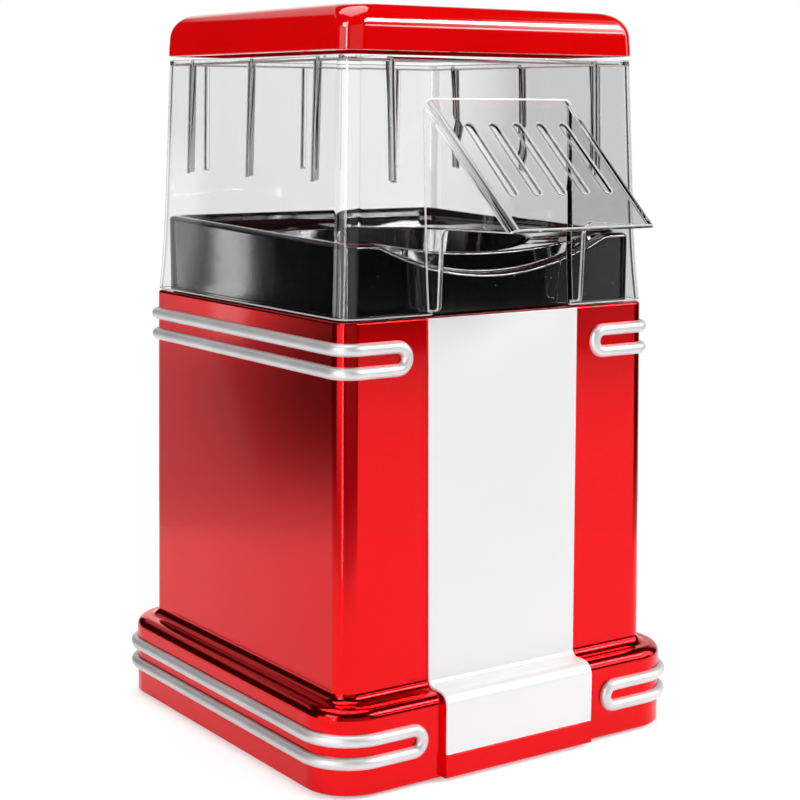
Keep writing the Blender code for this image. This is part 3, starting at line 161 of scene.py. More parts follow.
DECK_SHELF = 0.2085
DISH_RISE = 0.0024
RIM_ROUND = 0.0021
SCOOP_Y = -0.045  # in front of this, and between the dip's sides, the deck's inner wall is the scoop
CREST_BOTTOM = 0.2064  # the low point of the scoop's foot, and how far in from the rim it is
CREST_INSET = 0.0052
FUNNEL_RADIUS = 0.0598

FLOOR_RADIUS = 0.46
FLOOR_THICKNESS = 0.004
CORNER_STEPS = 14
ARC_STEPS = 8
EDGE_STEPS = 5
ROUND_SEGMENTS = 3
SECTION_STEPS = 16
SLOT_STEPS = 12
SHOULDER_STEPS = 16
RIM_STEPS = 6
DECK_CORNER_STEPS = 10
SIDE_STOPS = 40  # points along each side of the deck, between its corners
SAME_WAY = 0.0001  # how near to 1 the cosine of two edges that run the same way is
LONG_EDGE = 0.03  # the spout's shorter edges aren't rounded
SHARP_MARGIN = 8  # degrees past a piece's rounding angle where its shading turns sharp
NODE_SHARP_ANGLE = math.radians(35)
WELD = 0.00001
SHIFT = Vector((0, (-LIP_Y - (PLINTH_HALF_Y + GAP + TRIM_RADIUS)) / 2, 0))


# ---------------------------------------------------------------- shader helpers

def new_material(name):
    """A node material, with its tree and its Principled shader."""
    made = bpy.data.materials.new(name)
    made.use_nodes = True
    tree = made.node_tree
    return made, tree, tree.nodes["Principled BSDF"]


def add(tree, kind, **values):
    """A node with the given properties. A value named in_Some_Input sets the input called Some Input."""
    node = tree.nodes.new(kind)
    for key, value in values.items():
        if key.startswith("in_"):
            node.inputs[key[3:].replace("_", " ")].default_value = value
        else:
            setattr(node, key, value)
    return node


def noise(tree, scale, detail, stretch=None):
    """Noise in object space, in cycles per metre, stretched if asked."""
    place = add(tree, "ShaderNodeTexCoord")
    made = add(tree, "ShaderNodeTexNoise", in_Scale=scale, in_Detail=detail)
    source = place.outputs["Object"]
    if stretch:
        mapping = add(tree, "ShaderNodeMapping")
        mapping.inputs["Scale"].default_value = stretch
        tree.links.new(source, mapping.inputs["Vector"])
        source = mapping.outputs["Vector"]
    tree.links.new(source, made.inputs["Vector"])
    return made.outputs["Fac"]


def ramp(tree, source, stops):
    """A colour ramp from (position, colour) stops."""
    made = add(tree, "ShaderNodeValToRGB")
    elements = made.color_ramp.elements
    while len(elements) < len(stops):
        elements.new(0.5)
    for element, (position, colour) in zip(elements, stops):
        element.position = position
        element.color = (*colour, 1.0)
    tree.links.new(source, made.inputs["Fac"])
    return made.outputs["Color"]


def between(tree, source, low, high):
    """Maps a 0 to 1 value to a range."""
    made = add(tree, "ShaderNodeMapRange", in_To_Min=low, in_To_Max=high)
    tree.links.new(source, made.inputs["Value"])
    return made.outputs["Result"]


def bump(tree, shader, source, strength, distance, socket="Normal"):
    """Bumps the shader, or its coat, by a height that distance gives in metres."""
    made = add(tree, "ShaderNodeBump", in_Strength=strength, in_Distance=distance)
    tree.links.new(source, made.inputs["Height"])
    tree.links.new(made.outputs["Normal"], shader.inputs[socket])


def plain(name, low, high, scale, rough, metallic=0.0, grain=(900, 0.15, 0.00005), stretch=None):
    """A finish whose colour and roughness drift between two values, with a fine grain.

    grain is the bump's scale, strength and height.
    """
    made, tree, shader = new_material(name)
    drift = noise(tree, scale, 4.0, stretch=stretch)
    tree.links.new(ramp(tree, drift, [(0.30, low), (0.70, high)]), shader.inputs["Base Color"])
    tree.links.new(between(tree, drift, *rough), shader.inputs["Roughness"])
    shader.inputs["Metallic"].default_value = metallic
    bump(tree, shader, noise(tree, grain[0], 3.0, stretch=stretch), grain[1], grain[2])
    return made


def metallic_red():
    """Red lacquer over fine metal flakes, under a thin clear coat."""
    made, tree, shader = new_material("metallic_red")
    flakes = noise(tree, 5200, 1.0)
    reds = [(0.2, (0.58, 0.0006, 0.0020)), (0.8, (0.92, 0.0024, 0.0056))]
    tree.links.new(ramp(tree, flakes, reds), shader.inputs["Base Color"])
    cloud = noise(tree, 14, 2.0)
    tree.links.new(between(tree, cloud, 0.12, 0.18), shader.inputs["Roughness"])
    shader.inputs["Metallic"].default_value = 0.97
    shader.inputs["Coat Weight"].default_value = 0.22
    shader.inputs["Coat Roughness"].default_value = 0.03
    bump(tree, shader, flakes, 0.05, 0.00002)
    bump(tree, shader, noise(tree, 160, 2.0), 0.03, 0.0001, "Coat Normal")
    return made


def gloss_red():
    """Solid red plastic with a deep gloss and the faint ripple of a moulding."""
    made, tree, shader = new_material("gloss_red")
    drift = noise(tree, 18, 3.0)
    reds = [(0.3, (0.60, 0.0006, 0.0010)), (0.7, (0.68, 0.0010, 0.0014))]
    tree.links.new(ramp(tree, drift, reds), shader.inputs["Base Color"])
    tree.links.new(between(tree, noise(tree, 300, 4.0), 0.05, 0.09), shader.inputs["Roughness"])
    shader.inputs["Specular IOR Level"].default_value = 0.42
    shader.inputs["Coat Weight"].default_value = 0.60
    shader.inputs["Coat Roughness"].default_value = 0.02
    bump(tree, shader, noise(tree, 70, 2.0), 0.06, 0.0004)
    return made


def clear_plastic(name, low, high, transmission=1.0, rough=(0.0, 0.05)):
    """Clear polycarbonate between two shades, with hairline scuffs that only change its gloss."""
    made, tree, shader = new_material(name)
    drift = noise(tree, 12, 2.0)
    greys = [(0.3, (low,) * 3), (0.7, (high,) * 3)]
    tree.links.new(ramp(tree, drift, greys), shader.inputs["Base Color"])
    scuffs = noise(tree, 240, 5.0, stretch=(1.0, 1.0, 0.25))
    marks = ramp(tree, scuffs, [(0.55, (rough[0],) * 3), (0.85, (rough[1],) * 3)])
    tree.links.new(marks, shader.inputs["Roughness"])
    shader.inputs["Transmission Weight"].default_value = transmission
    shader.inputs["IOR"].default_value = 1.5
    bump(tree, shader, noise(tree, 26, 1.0), 0.05, 0.0003)
    return made


def gloss_black():
    """Polished black plastic, with small specks of dust and soft vertical draw marks."""
    made, tree, shader = new_material("gloss_black")
    place = add(tree, "ShaderNodeTexCoord")
    cells = add(tree, "ShaderNodeTexVoronoi", in_Scale=210)
    tree.links.new(place.outputs["Object"], cells.inputs["Vector"])
    shades = [(0.030, (0.30, 0.30, 0.30)), (0.055, (0.003, 0.003, 0.0034))]
    tree.links.new(ramp(tree, cells.outputs["Distance"], shades), shader.inputs["Base Color"])
    marks = noise(tree, 260, 3.0, stretch=(1.0, 1.0, 0.08))
    tree.links.new(between(tree, marks, 0.03, 0.09), shader.inputs["Roughness"])
    shader.inputs["Coat Weight"].default_value = 1.0
    shader.inputs["Coat Roughness"].default_value = 0.03
    bump(tree, shader, marks, 0.035, 0.00012)
    return made


RED = metallic_red()
LID_RED = gloss_red()
CLEAR = clear_plastic("clear_plastic", 0.945, 0.967)
# The hood's rounded edge strips: a paler, half-frosted clear that draws bright edge lines, a painted
# highlight.
CLEAR_EDGE_PAINTED_HIGHLIGHT = clear_plastic("clear_edge_painted_highlight", 0.96, 0.99, 0.55, (0.20, 0.35))
# Ribs and slot walls: clear plastic tinted dark, a painted shade for the dark bars and outlines they show.
CLEAR_RIB_PAINTED_SHADE = clear_plastic("clear_rib_painted_shade", 0.36, 0.48)
BLACK = gloss_black()
PANEL = plain(
    "panel_satin", (0.770, 0.772, 0.778), (0.800, 0.802, 0.808), 9, (0.34, 0.42), 0.15,
    (2600, 0.10, 0.00003),
)
SILVER = plain(
    "trim_silver", (0.66, 0.66, 0.67), (0.76, 0.76, 0.77), 60, (0.42, 0.50), 0.70, (1500, 0.06, 0.00003)
)
MATT = plain(
    "matt_black", (0.014, 0.014, 0.015), (0.022, 0.022, 0.023), 40, (0.45, 0.60), 0.0, (1800, 0.35, 0.00008)
)
ALUMINIUM = plain(
    "spun_aluminium", (0.70, 0.71, 0.72), (0.84, 0.85, 0.86), 90, (0.22, 0.36), 1.0, (700, 0.10, 0.00005),
    (1, 1, 12),
)
STEEL = plain(
    "zinc_steel", (0.50, 0.51, 0.52), (0.66, 0.67, 0.68), 400, (0.25, 0.40), 1.0, (2200, 0.12, 0.00003)
)
MICA = plain("mica", (0.42, 0.36, 0.26), (0.58, 0.52, 0.42), 120, (0.35, 0.60), 0.0, (500, 0.25, 0.00010))
WIRE = plain("coil_wire", (0.26, 0.24, 0.23), (0.44, 0.42, 0.40), 500, (0.30, 0.45), 1.0)
BOARD = plain("board", (0.020, 0.16, 0.05), (0.035, 0.24, 0.08), 300, (0.30, 0.45))
RUBBER = plain(
    "rubber", (0.016, 0.016, 0.016), (0.030, 0.030, 0.030), 200, (0.70, 0.85), 0.0, (1500, 0.35, 0.00010)
)
SLEEVE = plain(
    "sleeving", (0.62, 0.60, 0.54), (0.76, 0.74, 0.68), 900, (0.50, 0.65), 0.0, (2500, 0.40, 0.00010)
)

NODE_FINISHES = {
    "red_metallic": RED, "red_gloss": LID_RED, "panel_grey": PANEL, "silver": SILVER, "clear": CLEAR,
    "black_gloss": BLACK, "black_matte": MATT, "aluminium": ALUMINIUM, "steel": STEEL, "mica": MICA,
    "wire": WIRE, "board": BOARD, "rubber": RUBBER, "insulation": SLEEVE,
}


# ---------------------------------------------------------------- shape helpers

def object_of(name, mesh):
    """An object that holds mesh, in the scene."""
    made = bpy.data.objects.new(name, mesh)
    bpy.context.scene.collection.objects.link(made)
    return made


def evaluated(obj):
    """Applies obj's modifiers."""
    bpy.context.view_layer.update()
    graph = bpy.context.evaluated_depsgraph_get()
    mesh = bpy.data.meshes.new_from_object(obj.evaluated_get(graph))
    obj.modifiers.clear()
    obj.data = mesh
    return obj


def combine(obj, others, operation):
    """Joins or cuts obj with the others, which are used up. Their faces bring their own finish."""
    for other in others:
        modifier = obj.modifiers.new("join", "BOOLEAN")
        modifier.operation = operation
        modifier.object = other
        modifier.solver = "EXACT"
        modifier.material_mode = "TRANSFER"
    evaluated(obj)
    for other in others:
        bpy.data.objects.remove(other)
    return obj


def tidy(obj):
    """Welds doubles, dissolves edges and faces with no size, and turns every face out."""
    made = bmesh.new()
    made.from_mesh(obj.data)
    bmesh.ops.remove_doubles(made, verts=made.verts, dist=WELD)
    bmesh.ops.dissolve_degenerate(made, edges=made.edges, dist=WELD)
    bmesh.ops.recalc_face_normals(made, faces=made.faces)
    made.to_mesh(obj.data)
    made.free()
    return obj


def finish_piece(obj, material, body, replaced, angle, round_edge=0.0, edge=None):
    """Gives a piece its finish, rounds its edges, slides it into the frame and lets it ride on its body.

    Edges sharper than angle are rounded by round_edge, and edge is the finish of the rounded strips.
    """
    if not any(obj.data.materials):
        obj.data.materials.clear()
        obj.data.materials.append(material)
    if edge:
        obj.data.materials.append(edge)
    if round_edge:
        modifier = obj.modifiers.new("edge", "BEVEL")
        modifier.width = round_edge
        modifier.segments = ROUND_SEGMENTS
        modifier.limit_method = "ANGLE"
        modifier.angle_limit = math.radians(angle)
        modifier.use_clamp_overlap = not edge
        modifier.material = len(obj.data.materials) - 1 if edge else -1  # -1: as the faces beside it
        evaluated(obj)
    obj.data.transform(Matrix.Translation(SHIFT))
    obj.data.shade_smooth()
    obj.data.set_sharp_from_angle(angle=math.radians(angle + SHARP_MARGIN))
    weighted = obj.modifiers.new("flat_faces", "WEIGHTED_NORMAL")
    weighted.keep_sharp = True
    weighted.weight = 80
    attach(obj, body)
    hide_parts(*replaced)


def ring(half_x, half_y, radius, z, steps=CORNER_STEPS):
    """Points round a rounded rectangle, anticlockwise from above.

    z is a height or a function of x and y.
    """
    made = []
    for quarter, (side_x, side_y) in enumerate(((1, 1), (-1, 1), (-1, -1), (1, -1))):
        for step in range(steps + 1):
            angle = math.pi / 2 * (quarter + step / steps)
            x = side_x * (half_x - radius) + radius * math.cos(angle)
            y = side_y * (half_y - radius) + radius * math.sin(angle)
            made.append(Vector((x, y, z(x, y) if callable(z) else z)))
    return made


def loft(name, rings, cap_last=False, closed=False):
    """Faces from ring to ring, with a cap on the last one, or back round to the first."""
    made = bmesh.new()
    rows = [[made.verts.new(point) for point in points] for points in rings]
    if closed:
        rows.append(rows[0])
    count = len(rows[0])
    for low, high in zip(rows, rows[1:]):
        for i in range(count):
            j = (i + 1) % count
            made.faces.new((low[i], low[j], high[j], high[i]))
    if cap_last:
        made.faces.new(rows[-1])
    mesh = bpy.data.meshes.new(name)
    made.to_mesh(mesh)
    made.free()
    return object_of(name, mesh)


def box(name, centre, size):
    """A plain block, which is always joined to a piece or cut from one."""
    made = bmesh.new()
    bmesh.ops.create_cube(made, size=1.0)
    bmesh.ops.scale(made, vec=size, verts=made.verts)
    bmesh.ops.translate(made, vec=centre, verts=made.verts)
    mesh = bpy.data.meshes.new(name)
    made.to_mesh(mesh)
    made.free()
    return object_of(name, mesh)


def prism(name, outline, matrix, half):
    """A closed outline of (x, y) points, extruded by half each way along its own Z and placed by matrix."""
    made = bmesh.new()
    low = [made.verts.new((x, y, -half)) for x, y in outline]
    high = [made.verts.new((x, y, half)) for x, y in outline]
    count = len(outline)
    for i in range(count):
        j = (i + 1) % count
        made.faces.new((low[i], low[j], high[j], high[i]))
    made.faces.new(list(reversed(low)))
    made.faces.new(high)
    made.transform(matrix)
    bmesh.ops.recalc_face_normals(made, faces=made.faces)
    mesh = bpy.data.meshes.new(name)
    made.to_mesh(mesh)
    made.free()
    return object_of(name, mesh)


def side_prism(name, outline, x_from, x_to):
    """A prism whose outline is given as (y, z), from one x to another."""
    across = Matrix(((0, 0, 1, (x_from + x_to) / 2), (1, 0, 0, 0), (0, 1, 0, 0), (0, 0, 0, 1)))
    return prism(name, outline, across, abs(x_to - x_from) / 2)


def rounded(points, radii, steps=ARC_STEPS):
    """A run of corners, with an arc of the given radius at each corner that has one."""
    made = []
    count = len(points)
    for i, (point, radius) in enumerate(zip(points, radii)):
        here = Vector(point)
        if not radius:
            made.append(tuple(here))
            continue
        back = (Vector(points[i - 1]) - here).normalized()
        ahead = (Vector(points[(i + 1) % count]) - here).normalized()
        half = back.angle(ahead) / 2
        centre = here + (back + ahead).normalized() * radius / math.sin(half)
        start = here + back * radius / math.tan(half) - centre
        end = here + ahead * radius / math.tan(half) - centre
        for step in range(steps + 1):
            angle = start.angle_signed(end) * step / steps
            made.append(tuple(centre + Matrix.Rotation(-angle, 2) @ start))
    return made


def turned(name, profile, segments):
    """A closed (radius, z) outline spun about Z."""
    made = bmesh.new()
    rows = []
    for i in range(segments):
        angle = 2 * math.pi * i / segments
        rows.append([made.verts.new((r * math.cos(angle), r * math.sin(angle), z)) for r, z in profile])
    for i, row in enumerate(rows):
        after = rows[(i + 1) % segments]
        for j in range(len(profile)):
            k = (j + 1) % len(profile)
            made.faces.new((row[j], row[k], after[k], after[j]))
    bmesh.ops.remove_doubles(made, verts=made.verts, dist=WELD)
    bmesh.ops.recalc_face_normals(made, faces=made.faces)
    mesh = bpy.data.meshes.new(name)
    made.to_mesh(mesh)
    made.free()
    return object_of(name, mesh)


# ---------------------------------------------------------------- case

def body_half(z):
    """Half the body's width and depth at height z."""
    inset = math.tan(BODY_DRAFT) * (z - PLINTH_TOP)
    return BODY_HALF_X - inset, BODY_HALF_Y - inset


def case_rings():
    """The case's outside from the plinth's lower edge up, over the top edge, and down its inside."""
    rings = [
        ring(PLINTH_HALF_X - FOOT_EDGE, PLINTH_HALF_Y - FOOT_EDGE, PLINTH_CORNER - FOOT_EDGE, FOOT_HEIGHT),
        ring(PLINTH_HALF_X, PLINTH_HALF_Y, PLINTH_CORNER, FOOT_HEIGHT + FOOT_EDGE),
    ]
    for step in range(ARC_STEPS + 1):
        angle = math.pi / 2 * step / ARC_STEPS
        inset = PLINTH_SHOULDER * (1 - math.cos(angle))
        z = PLINTH_TOP - PLINTH_SHOULDER * (1 - math.sin(angle))
        rings.append(ring(PLINTH_HALF_X - inset, PLINTH_HALF_Y - inset, PLINTH_CORNER - inset, z))
    for step in range(ARC_STEPS + 1):
        angle = math.pi / 2 * step / ARC_STEPS
        out = BODY_FILLET * (1 - math.sin(angle))
        z = PLINTH_TOP + BODY_FILLET * (1 - math.cos(angle))
        half_x, half_y = body_half(z)
        rings.append(ring(half_x + out, half_y + out, BODY_CORNER + out, z))
    for step in range(EDGE_STEPS + 1):
        angle = math.pi / 2 * step / EDGE_STEPS
        inset = BODY_TOP_EDGE * (1 - math.cos(angle))
        z = BODY_TOP - BODY_TOP_EDGE * (1 - math.sin(angle))
        half_x, half_y = body_half(z)
        rings.append(ring(half_x - inset, half_y - inset, BODY_CORNER - inset, z))
    half_x, half_y = body_half(BODY_TOP)
    inset = CASE_FLANGE + CASE_WALL
    roof = BODY_TOP - CASE_WALL
    rings += [ring(half_x - inset, half_y - inset, BODY_CORNER, z) for z in (BODY_TOP, roof)]
    for z in (roof, PLINTH_TOP + BODY_FILLET):
        half_x, half_y = body_half(z)
        rings.append(ring(half_x - CASE_WALL, half_y - CASE_WALL, BODY_CORNER - CASE_WALL, z))
    roof = PLINTH_TOP - CASE_WALL
    half_x, half_y = body_half(roof)
    fillet = BODY_FILLET - CASE_WALL
    rings.append(ring(half_x + fillet - CASE_WALL, half_y + fillet - CASE_WALL, BODY_CORNER, roof))
    half_x, half_y = PLINTH_HALF_X - CASE_WALL, PLINTH_HALF_Y - CASE_WALL
    corner = PLINTH_CORNER - CASE_WALL
    inset = PLINTH_SHOULDER - CASE_WALL
    rings.append(ring(half_x - inset, half_y - inset, corner - inset, roof))
    rings.append(ring(half_x, half_y, corner, roof - inset))
    rings.append(ring(half_x, half_y, corner, FOOT_HEIGHT))
    return rings


def plinth_pad():
    """The raised pad on the plinth's front that carries the panel's foot, with a lip below the panel."""
    inner = -(PLINTH_HALF_Y - CASE_WALL / 2)
    pad = -(PLINTH_HALF_Y + PAD_PROUD)
    lip = -(PLINTH_HALF_Y + LIP_PROUD)
    step_z = PANEL_BOTTOM - TIGHT_GAP
    top = PLINTH_TOP - TIGHT_GAP
    low = FOOT_HEIGHT + GAP
    corners = [
        (inner, low),
        (lip, low),
        (lip, step_z),
        (pad, step_z),
        (pad, top),
        (inner + PLINTH_SHOULDER, top),
        (inner + PLINTH_SHOULDER, top - CASE_WALL / 2),
        (inner, top - PLINTH_SHOULDER),
    ]
    outline = rounded(corners, [0, 0.0006, 0.0005, 0, PLINTH_SHOULDER, 0, 0, 0])
    return side_prism("pad", outline, -PAD_HALF_WIDTH, PAD_HALF_WIDTH)


def back_holes():
    """Cutters for the rocker switch's window and the cord gland's hole."""
    switch_low, switch_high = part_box("switch_housing")
    gland_low, gland_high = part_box("cord_gland")
    switch = (switch_low + switch_high) / 2 - SHIFT
    gland = (gland_low + gland_high) / 2 - SHIFT
    window = box("window", (switch.x, BODY_HALF_Y, switch.z), (WINDOW_WIDTH, CUT_REACH, WINDOW_HEIGHT))
    radius = GLAND_HOLE_RADIUS
    outline = [(0.0, -CUT_REACH), (radius, -CUT_REACH), (radius, CUT_REACH), (0.0, CUT_REACH)]
    hole = turned("gland_hole", outline, 48)
    lie_down = Matrix.Rotation(math.pi / 2, 4, "X")
    hole.data.transform(Matrix.Translation((gland.x, BODY_HALF_Y, gland.z)) @ lie_down)
    return [window, hole]


def case_shell():
    """The red body and plinth in one open-bottomed shell."""
    obj = loft("case_shell", case_rings(), closed=True)
    combine(obj, [plinth_pad()], "UNION")
    combine(obj, back_holes(), "DIFFERENCE")
    finish_piece(tidy(obj), RED, "base", ["body_shell"], 30)


def panel_line(out):
    """The panel's path as (y, z) points, a distance out from the case."""
    top = BODY_TOP - 0.0004
    _, top_y = body_half(top)
    _, foot_y = body_half(PLINTH_TOP)
    pad = PLINTH_HALF_Y + PAD_PROUD
    corners = [
        (-(top_y + out), top),
        (-(foot_y + out), PLINTH_TOP + out),
        (-(pad + out), PLINTH_TOP + out),
        (-(pad + out), PANEL_BOTTOM),
    ]
    return rounded(corners, [0, BODY_FILLET - out, PLINTH_SHOULDER + out, 0], steps=12)


def front_panel():
    """The grey plate down the front, bent over the plinth's pad."""
    outline = panel_line(PANEL_OUT) + list(reversed(panel_line(PANEL_BACK)))
    obj = side_prism("panel", outline, -PANEL_HALF_WIDTH, PANEL_HALF_WIDTH)
    finish_piece(obj, PANEL, "base", ["front_panel"], 50, PANEL_EDGE)


def trim_path(half_x, half_y, corner, middle_z):
    """(point, outward normal) all round a trim: a bar, the turn at its end, the other bar and its turn."""
    bar = []
    corner_steps, turn_steps = 18, 20
    for first, (side_x, side_y) in zip((270, 180, 90, 0), ((-1, -1), (-1, 1), (1, 1), (1, -1))):
        centre = Vector((side_x * (half_x - corner), side_y * (half_y - corner), 0))
        for step in range(corner_steps + 1):
            angle = math.radians(first - 90 * step / corner_steps)
            normal = Vector((math.cos(angle), math.sin(angle), 0))
            bar.append((centre + corner * normal, normal))
    rise = Vector((0, 0, TRIM_PITCH / 2))
    middle = Vector((0, 0, middle_z))
    front = Vector((0, -1, 0))

    def turn(side):
        made = []
        for step in range(turn_steps + 1):
            angle = math.pi * step / turn_steps
            across = -side * math.sin(angle) * TRIM_PITCH / 2
            up = side * math.cos(angle) * TRIM_PITCH / 2
            made.append((Vector((side * TRIM_END_X + across, -half_y, middle_z + up)), front))
        return made

    top = [(point + middle + rise, normal) for point, normal in bar]
    low = [(point + middle - rise, normal) for point, normal in reversed(bar)]
    return top + turn(1) + low + turn(-1)


def trim(name, half_x, half_y, corner, middle_z, node):
    """A half-round bar swept with its flat side to the case, on a small foot along each edge."""
    made = bmesh.new()
    path = trim_path(half_x, half_y, corner, middle_z)
    turn = [math.pi * step / SECTION_STEPS for step in range(SECTION_STEPS + 1)]
    section = [(math.cos(angle), math.sin(angle)) for angle in turn]
    section = [(1.0, -TRIM_FOOT)] + section + [(-1.0, -TRIM_FOOT)]
    rows = []
    for i, (point, normal) in enumerate(path):
        along = (path[(i + 1) % len(path)][0] - path[i - 1][0]).normalized()
        side = normal.cross(along).normalized()
        places = [point + TRIM_RADIUS * (side * u + normal * (v + TRIM_LIFT)) for u, v in section]
        rows.append([made.verts.new(place) for place in places])
    for i, row in enumerate(rows):
        after = rows[(i + 1) % len(rows)]
        for j in range(len(row)):
            k = (j + 1) % len(row)
            made.faces.new((row[j], row[k], after[k], after[j]))
    bmesh.ops.recalc_face_normals(made, faces=made.faces)
    mesh = bpy.data.meshes.new(name)
    made.to_mesh(mesh)
    made.free()
    finish_piece(object_of(name, mesh), SILVER, "base", [node], 40)


def trims():
    """The loops round the body's top and round the plinth."""
    half_x, half_y = body_half(UPPER_TRIM_Z)
    trim("trim_upper", half_x, half_y, BODY_CORNER, UPPER_TRIM_Z, "upper_trim")
    trim("trim_lower", PLINTH_HALF_X, PLINTH_HALF_Y, PLINTH_CORNER, LOWER_TRIM_Z, "lower_trim")


# ---------------------------------------------------------------- hood

def hood_half(z):
    """Half the hood's outer width and depth at height z."""
    half_x, half_y = body_half(BODY_TOP)
    height = z - HOOD_BOTTOM
    inset = HOOD_INSET + math.tan(HOOD_TAPER) * height
    flare = HOOD_FLARE * max(0.0, 1 - height / HOOD_FLARE_HEIGHT) ** 2
    return half_x - inset + flare, half_y - inset + flare


def hood_walls():
    """The four walls, flared at the foot, with the inward rim at the top."""
    heights = [HOOD_BOTTOM + HOOD_FLARE_HEIGHT * share for share in (0, 0.15, 0.3, 0.45, 0.6, 0.8, 1)]
    heights.append(HOOD_TOP)
    outer = [ring(*hood_half(z), HOOD_CORNER, z) for z in heights]
    half_x, half_y = hood_half(HOOD_TOP)
    corner = HOOD_CORNER - HOOD_RIM
    rim_heights = (HOOD_TOP, HOOD_TOP - HOOD_WALL)
    outer += [ring(half_x - HOOD_RIM, half_y - HOOD_RIM, corner, z) for z in rim_heights]
    inner = []
    for z in reversed(heights):
        z = min(z, HOOD_TOP - HOOD_WALL)
        half_x, half_y = hood_half(z)
        inner.append(ring(half_x - HOOD_WALL, half_y - HOOD_WALL, HOOD_CORNER - HOOD_WALL, z))
    return loft("hood_walls", outer + inner, closed=True)


def hood_ribs():
    """The ribs inside each wall, which lean with it. The front has none where the spout is."""
    ribs = []
    top = HOOD_TOP - HOOD_WALL / 2
    middle_z = (RIB_BOTTOM + top) / 2
    height = top - RIB_BOTTOM
    half_x, half_y = hood_half(HOOD_TOP)
    out = math.tan(HOOD_TAPER) * (top - middle_z)
    for place in RIB_POSITIONS:
        for side_x, side_y in ((-1, 0), (1, 0), (0, 1), (0, -1)):
            if side_y < 0 and not place:
                continue
            at_back = side_y > 0
            reach = HOOD_WALL / 2 + (BACK_RIB_DEPTH if at_back else RIB_DEPTH)
            depth = reach + RIB_OVERLAP
            if side_x:
                size = (depth, RIB_WIDTH, height)
                centre = (side_x * (half_x - HOOD_WALL / 2 - reach / 2 + out), place, middle_z)
            else:
                size = (RIB_WIDTH, depth, height)
                centre = (place, side_y * (half_y - HOOD_WALL / 2 - reach / 2 + out), middle_z)
            slope = Matrix.Identity(4)
            slope[0][2] = -side_x * math.tan(HOOD_TAPER)
            slope[1][2] = -side_y * math.tan(HOOD_TAPER)
            rib = box("rib", (0, 0, 0), size)
            # The side and front ribs take the dark tint, a painted shade for their dark flanks; the back
            # ribs stay clear.
            rib.data.materials.append(CLEAR if at_back else CLEAR_RIB_PAINTED_SHADE)
            rib.data.transform(Matrix.Translation(centre) @ slope)
            ribs.append(rib)
    return ribs


def visor_point(y, out=0.0):
    """(y, z) on the visor's outer face at y, or out from it by a distance along its normal."""
    _, wall_y = hood_half(SPOUT_TOP)
    top = Vector((-wall_y, SPOUT_TOP))
    along = (Vector((LIP_Y, LIP_Z)) - top).normalized()
    reach = (y - top.x) / along.x
    normal = Vector((along.y, -along.x))
    point = top + along * reach + normal * out
    return point.x, point.y


def wedge(name, outline, half_width, radius):
    """A prism under the visor's slope, with its two long sloping edges rounded, narrower at the lip."""
    obj = side_prism(name, outline, -half_width, half_width)
    made = bmesh.new()
    made.from_mesh(obj.data)
    edges = []
    slope = (Vector((0, *visor_point(CHEEK_Y))) - Vector((0, *visor_point(LIP_Y)))).normalized()
    for edge in made.edges:
        along = (edge.verts[1].co - edge.verts[0].co).normalized()
        if abs(abs(along.dot(slope)) - 1) < SAME_WAY and edge.calc_length() > LONG_EDGE:
            edges.append(edge)
    bmesh.ops.bevel(made, geom=edges, offset=radius, segments=ARC_STEPS, profile=0.5, affect="EDGES")
    root_y = -hood_half(SPOUT_TOP)[1]
    narrowing = (1 - SPOUT_LIP_HALF_WIDTH / SPOUT_HALF_WIDTH) / (root_y - LIP_Y)
    for vert in made.verts:
        vert.co.x *= 1 - narrowing * (root_y - vert.co.y)
    made.to_mesh(obj.data)
    made.free()
    return obj


def spout_outer():
    """The visor and its two side walls as one solid, from the lip back into the front wall."""
    _, wall_y = hood_half(SPOUT_TOP)
    _, foot_y = hood_half(CHEEK_BOTTOM)
    corners = [
        visor_point(-(wall_y - SPOUT_BITE)),
        visor_point(LIP_Y),
        (LIP_Y + 0.0012, LIP_Z - 0.0012),
        (CHEEK_Y - 0.0015, CHEEK_TOP),
        (CHEEK_Y, CHEEK_BOTTOM),
        (-(foot_y - SPOUT_BITE), CHEEK_BOTTOM),
    ]
    outline = rounded(corners, [0, 0, 0, 0.004, 0.0025, 0])
    return wedge("spout_outer", outline, SPOUT_HALF_WIDTH, SPOUT_ROUND)


def spout_inner():
    """The space inside the spout, which also opens the hood's front wall below the visor."""
    inside = -SPOUT_WALL
    front = LIP_Y - CUT_REACH
    bottom = HOOD_BOTTOM - CUT_REACH
    y, z = visor_point(SPOUT_BACK_Y, inside)
    outline = [(y, z), visor_point(front, inside), (front, bottom), (y, bottom)]
    return wedge("spout_inner", outline, SPOUT_HALF_WIDTH - SPOUT_WALL, SPOUT_ROUND - SPOUT_WALL * 0.8)


def vent_slots():
    """Cutters for the row of round-ended slots in the visor."""
    start = Vector((0, *visor_point(SLOT_START_Y, -SPOUT_WALL / 2)))
    end = Vector((0, *visor_point(SLOT_END_Y, -SPOUT_WALL / 2)))
    along = (end - start).normalized()
    turn = Vector((0, 1, 0)).rotation_difference(along).to_matrix().to_4x4()
    length = (end - start).length
    radius = SLOT_WIDTH / 2
    outline = []
    for end_sign, first in ((1, 0.0), (-1, math.pi)):
        for step in range(SLOT_STEPS + 1):
            angle = first + math.pi * step / SLOT_STEPS
            outline.append((radius * math.cos(angle), end_sign * length / 2 + radius * math.sin(angle)))
    made = []
    for n in range(SLOT_COUNT):
        shift = Vector(((n - (SLOT_COUNT - 1) / 2) * SLOT_PITCH, 0, 0))
        slot = prism("slot", outline, Matrix.Translation((start + end) / 2 + shift) @ turn, SPOUT_WALL * 2)
        # The slots' walls take the dark tint, a painted shade for their dark outlines.
        slot.data.materials.append(CLEAR_RIB_PAINTED_SHADE)
        made.append(slot)
    return made


